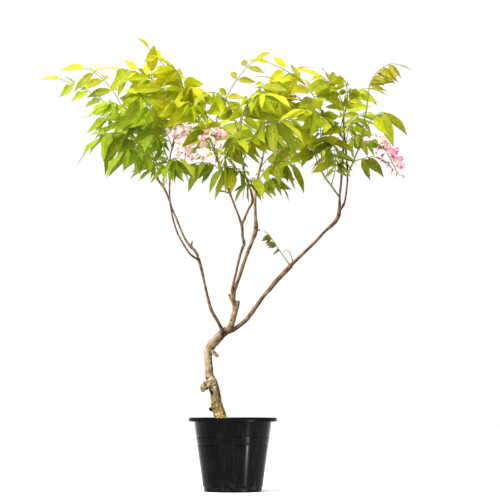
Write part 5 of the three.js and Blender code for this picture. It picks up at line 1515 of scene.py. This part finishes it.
def blade(sheets, leaflet, tone, slim, ragged, draw):
    """Adds a leaflet's short stalk and its blade, waved, twisted and curled a little."""
    root, forward, length = leaflet["root"], leaflet["forward"], leaflet["length"]
    shares = BLADE_START + (1 - BLADE_START) * np.linspace(0, 1, BLADE_ROWS + 1) ** 1.15
    edges = np.linspace(-1, 1, BLADE_COLUMNS + 1)
    share, edge = (grid.ravel() for grid in np.meshgrid(shares, edges, indexing="ij"))
    run = (share - BLADE_START) / (1 - BLADE_START)
    drawn_out = 1 - TIP_NARROWING * ((run - TIP_START) / (1 - TIP_START)).clip(0) ** 1.6
    phase, twist, waves = 6.28 * next(draw), 1.1 * (next(draw) - 0.5), 1.1 + 0.8 * next(draw)
    rippled = 2 * np.pi * waves * run + phase
    lobes = 1 + ragged * np.sin(rippled + (edge > 0) * 2.1) * np.sin(np.pi * run)
    half = leaflet["half"] * slim * ovate(run) * drawn_out * lobes + 0.25
    fold = BLADE_FOLD * (0.6 + 0.9 * next(draw))
    angle = twist * run
    reach = half * edge
    wave = (0.08 + 0.3 * ragged) * half * edge * edge * np.sin(rippled + (edge > 0) * 1.3)
    quilt = 0.35 * np.abs(np.sin(VEIN_PAIRS * np.pi * (run - 0.32 * np.abs(edge)))) * (1 - edge * edge)
    lift = np.abs(reach) * fold + wave + quilt
    curl = 0.05 * length * run ** 4
    sideways = reach * np.cos(angle) - lift * np.sin(angle)
    upward = reach * np.sin(angle) + lift * np.cos(angle) - curl
    fallen = -length * leaflet["sag"] * share * share
    spine = root + forward * (length * share)[:, None] + UP * fallen[:, None]
    points = spine + leaflet["wide"] * sideways[:, None] + leaflet["face"] * upward[:, None]
    sheets.grid(list(points), BLADE_ROWS, BLADE_COLUMNS, 0, tone)
    start, end = root - forward * 1.0, root + forward * (length * 0.1)
    stalk = [(*place, radius) for place, radius in zip((start, (start + end) / 2, end), STALK_RADII)]
    sheets.stem(limb_rings(stalk, 4), 6, 1)


def leaf_tone(place, own):
    """How pale a leaflet is, as painted light: from 0 deep in the crown to 1 at its top, paler on the sunny
    left crest and darker at the shady right end.
    """
    share = (place[2] - LOWEST_LEAF) / (HIGHEST_LEAF - LOWEST_LEAF)
    sunny = 0.26 * math.exp(-((place[0] - SUNNY_CREST) / CREST_REACH) ** 2)
    shady = 0.2 * min(max((place[0] - SHADY_END) / SHADE_REACH, 0), 1)
    return min(max(0.03 + 0.86 * share + sunny - shady + 0.2 * (own - 0.5), 0), 1)


def swollen_foot(length, _):
    """How much thicker a rib is at a length from its limb."""
    return 1 + 0.9 * math.exp(-(length / RIB_SWELLING) ** 2)


def add_leaf(sheets, leaf, leaflets, draw):
    """Adds a whole leaf: its rib with a swollen foot, and its blades."""
    stalk = leaf_stalk(leaf)
    steps = zip(np.linspace(0, 1, 7), np.linspace(*RIB_RADII, 7))
    rings = limb_rings([(*stalk(share), radius) for share, radius in steps], 24)
    sheets.stem(rings, 8, 1, swollen_foot)
    slim = SLIM.get(leaf[0], USUAL_SLIM)
    ragged = OLD_RAGGED if leaf[0] in OLD_LEAVES else USUAL_RAGGED
    for leaflet in leaflets:
        middle = leaflet["root"] + leaflet["forward"] * (leaflet["length"] * 0.5)
        tone = leaf_tone(middle, next(draw))
        blade(sheets, leaflet, tone, slim, ragged, draw)


def build_leaves(name, node, leaves):
    """Makes one piece of the leaves, which are all of one age, to stand for a solid."""
    sheets = Sheets()
    for leaf in leaves:
        add_leaf(sheets, leaf, leaflets_by_leaf[leaf[0]], blade_draw)
    skin = GREEN_BLADE
    if leaves[0][0] in OLD_LEAVES:
        skin = OLD_BLADE
    if leaves[0][0] in YOUNG_LEAVES:
        skin = YOUNG_BLADE
    made = sheets.piece(name, "leaves", [skin, STEM], "blade", "tone")
    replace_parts(made, node)


leaf_draw = random_source(11)
blade_draw = random_source(23)
small_draw = random_source(17)
leaflets_by_leaf = {leaf[0]: leaflets_of(leaf, leaf_draw) for leaf in LEAVES}
for leaf in LEAVES:
    leaflets_by_leaf[leaf[0]] += small_leaflets_of(leaf, small_draw)
for shoot, shoot_points in GREEN_SHOOTS.items():
    for young in (True, False):
        carried = [leaf for leaf in LEAVES if leaf[1] == shoot and (leaf[0] in YOUNG_LEAVES) == young]
        if carried:
            build_leaves(shoot + ("_young_leaves" if young else "_leaves"), shoot, carried)
    sheets = Sheets()
    sheets.stem(limb_rings(shoot_points, 8 * len(shoot_points)), 10, 0)
    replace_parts(sheets.piece(shoot + "_stem", "leaves", [STEM], "blade", "tone"), shoot)
for leaf in LEAVES:
    if leaf[1] not in GREEN_SHOOTS:
        build_leaves(leaf[0] + "_blades", leaf[0], [leaf])

# The studio
# A plain pale floor and soft light from large boxes, and a long lens a little above the pot's rim.
FLOOR_DROP = 0.2
CLOUD_SIZE = 1250
# The rest of the studio is given in metres, and its lens in millimetres.
FLOOR_SIZE = 40
CAMERA_PLACE = (0.040, -6.0, 0.225)
CAMERA_AIM = (0.040, 0.0, 0.563)
CAMERA_LENS = 185.1
CAMERA_SENSOR = 36
SKY_STRENGTH = 1.0
# Each light is its place, its aim, its width and height, its power in watts and its spread in degrees.
SOFT_BOXES = {
    "box_above": ((-0.4, -0.9, 2.8), (0.0, 0.0, 0.8), 1.2, 1.2, 170, 180),
    "box_front_left": ((-2.2, -3.0, 1.9), (0.0, 0.0, 0.6), 1.4, 1.4, 130, 180),
    "strip_right": ((2.0, -1.8, 0.12), (0.03, -0.07, 0.07), 0.22, 0.2, 0.75, 4),
}


def pale_floor():
    """The floor: matt white paint, with no sheen and hardly any cloud in its white."""
    material, tree = new_material("matt white floor")
    place = add_node(tree, "TexCoord").outputs["Object"]
    cloud = add_node(tree, "TexNoise", {"Vector": place, "Scale": 1 / (CLOUD_SIZE * MM), "Detail": 3})
    white = add_node(tree, "ValToRGB", {0: cloud.outputs[0]})
    set_stops(white, [(0.3, "#fdfdfd"), (0.7, "#ffffff")])
    shader = add_node(tree, "BsdfPrincipled", {"Base Color": white.outputs[0], "Roughness": 0.9})
    add_node(tree, "OutputMaterial", {0: shader.outputs[0]})
    return material


def build_studio():
    """Makes the floor, the lights, the sky's even light and the camera."""
    half = FLOOR_SIZE / 2
    floor_mesh = bpy.data.meshes.new("floor")
    below = -FLOOR_DROP * MM
    sheet = [(-half, -half, below), (half, -half, below), (half, half, below), (-half, half, below)]
    floor_mesh.from_pydata(sheet, [], [(0, 1, 2, 3)])
    floor_mesh.materials.append(pale_floor())
    floor = bpy.data.objects.new("floor", floor_mesh)
    bpy.context.scene.collection.objects.link(floor)
    for name, (place, aim, width, height, power, spread) in SOFT_BOXES.items():
        light = bpy.data.lights.new(name, "AREA")
        light.shape = "RECTANGLE"
        light.size, light.size_y, light.energy = width, height, power
        light.spread = math.radians(spread)
        box = bpy.data.objects.new(name, light)
        box.location = place
        box.rotation_euler = (Vector(aim) - Vector(place)).to_track_quat("-Z", "Y").to_euler()
        bpy.context.scene.collection.objects.link(box)
    world = bpy.data.worlds.new("even light")
    world.use_nodes = True
    sky = world.node_tree.nodes["Background"]
    sky.inputs["Color"].default_value = linear("#ffffff")
    sky.inputs["Strength"].default_value = SKY_STRENGTH
    bpy.context.scene.world = world
    lens = bpy.data.cameras.new("camera")
    lens.sensor_width = CAMERA_SENSOR
    lens.lens = CAMERA_LENS
    camera = bpy.data.objects.new("camera", lens)
    camera.location = CAMERA_PLACE
    aim = Vector(CAMERA_AIM) - Vector(CAMERA_PLACE)
    camera.rotation_euler = aim.to_track_quat("-Z", "Y").to_euler()
    bpy.context.scene.collection.objects.link(camera)
    bpy.context.scene.camera = camera
    bpy.context.scene.view_settings.view_transform = "Standard"


build_studio()
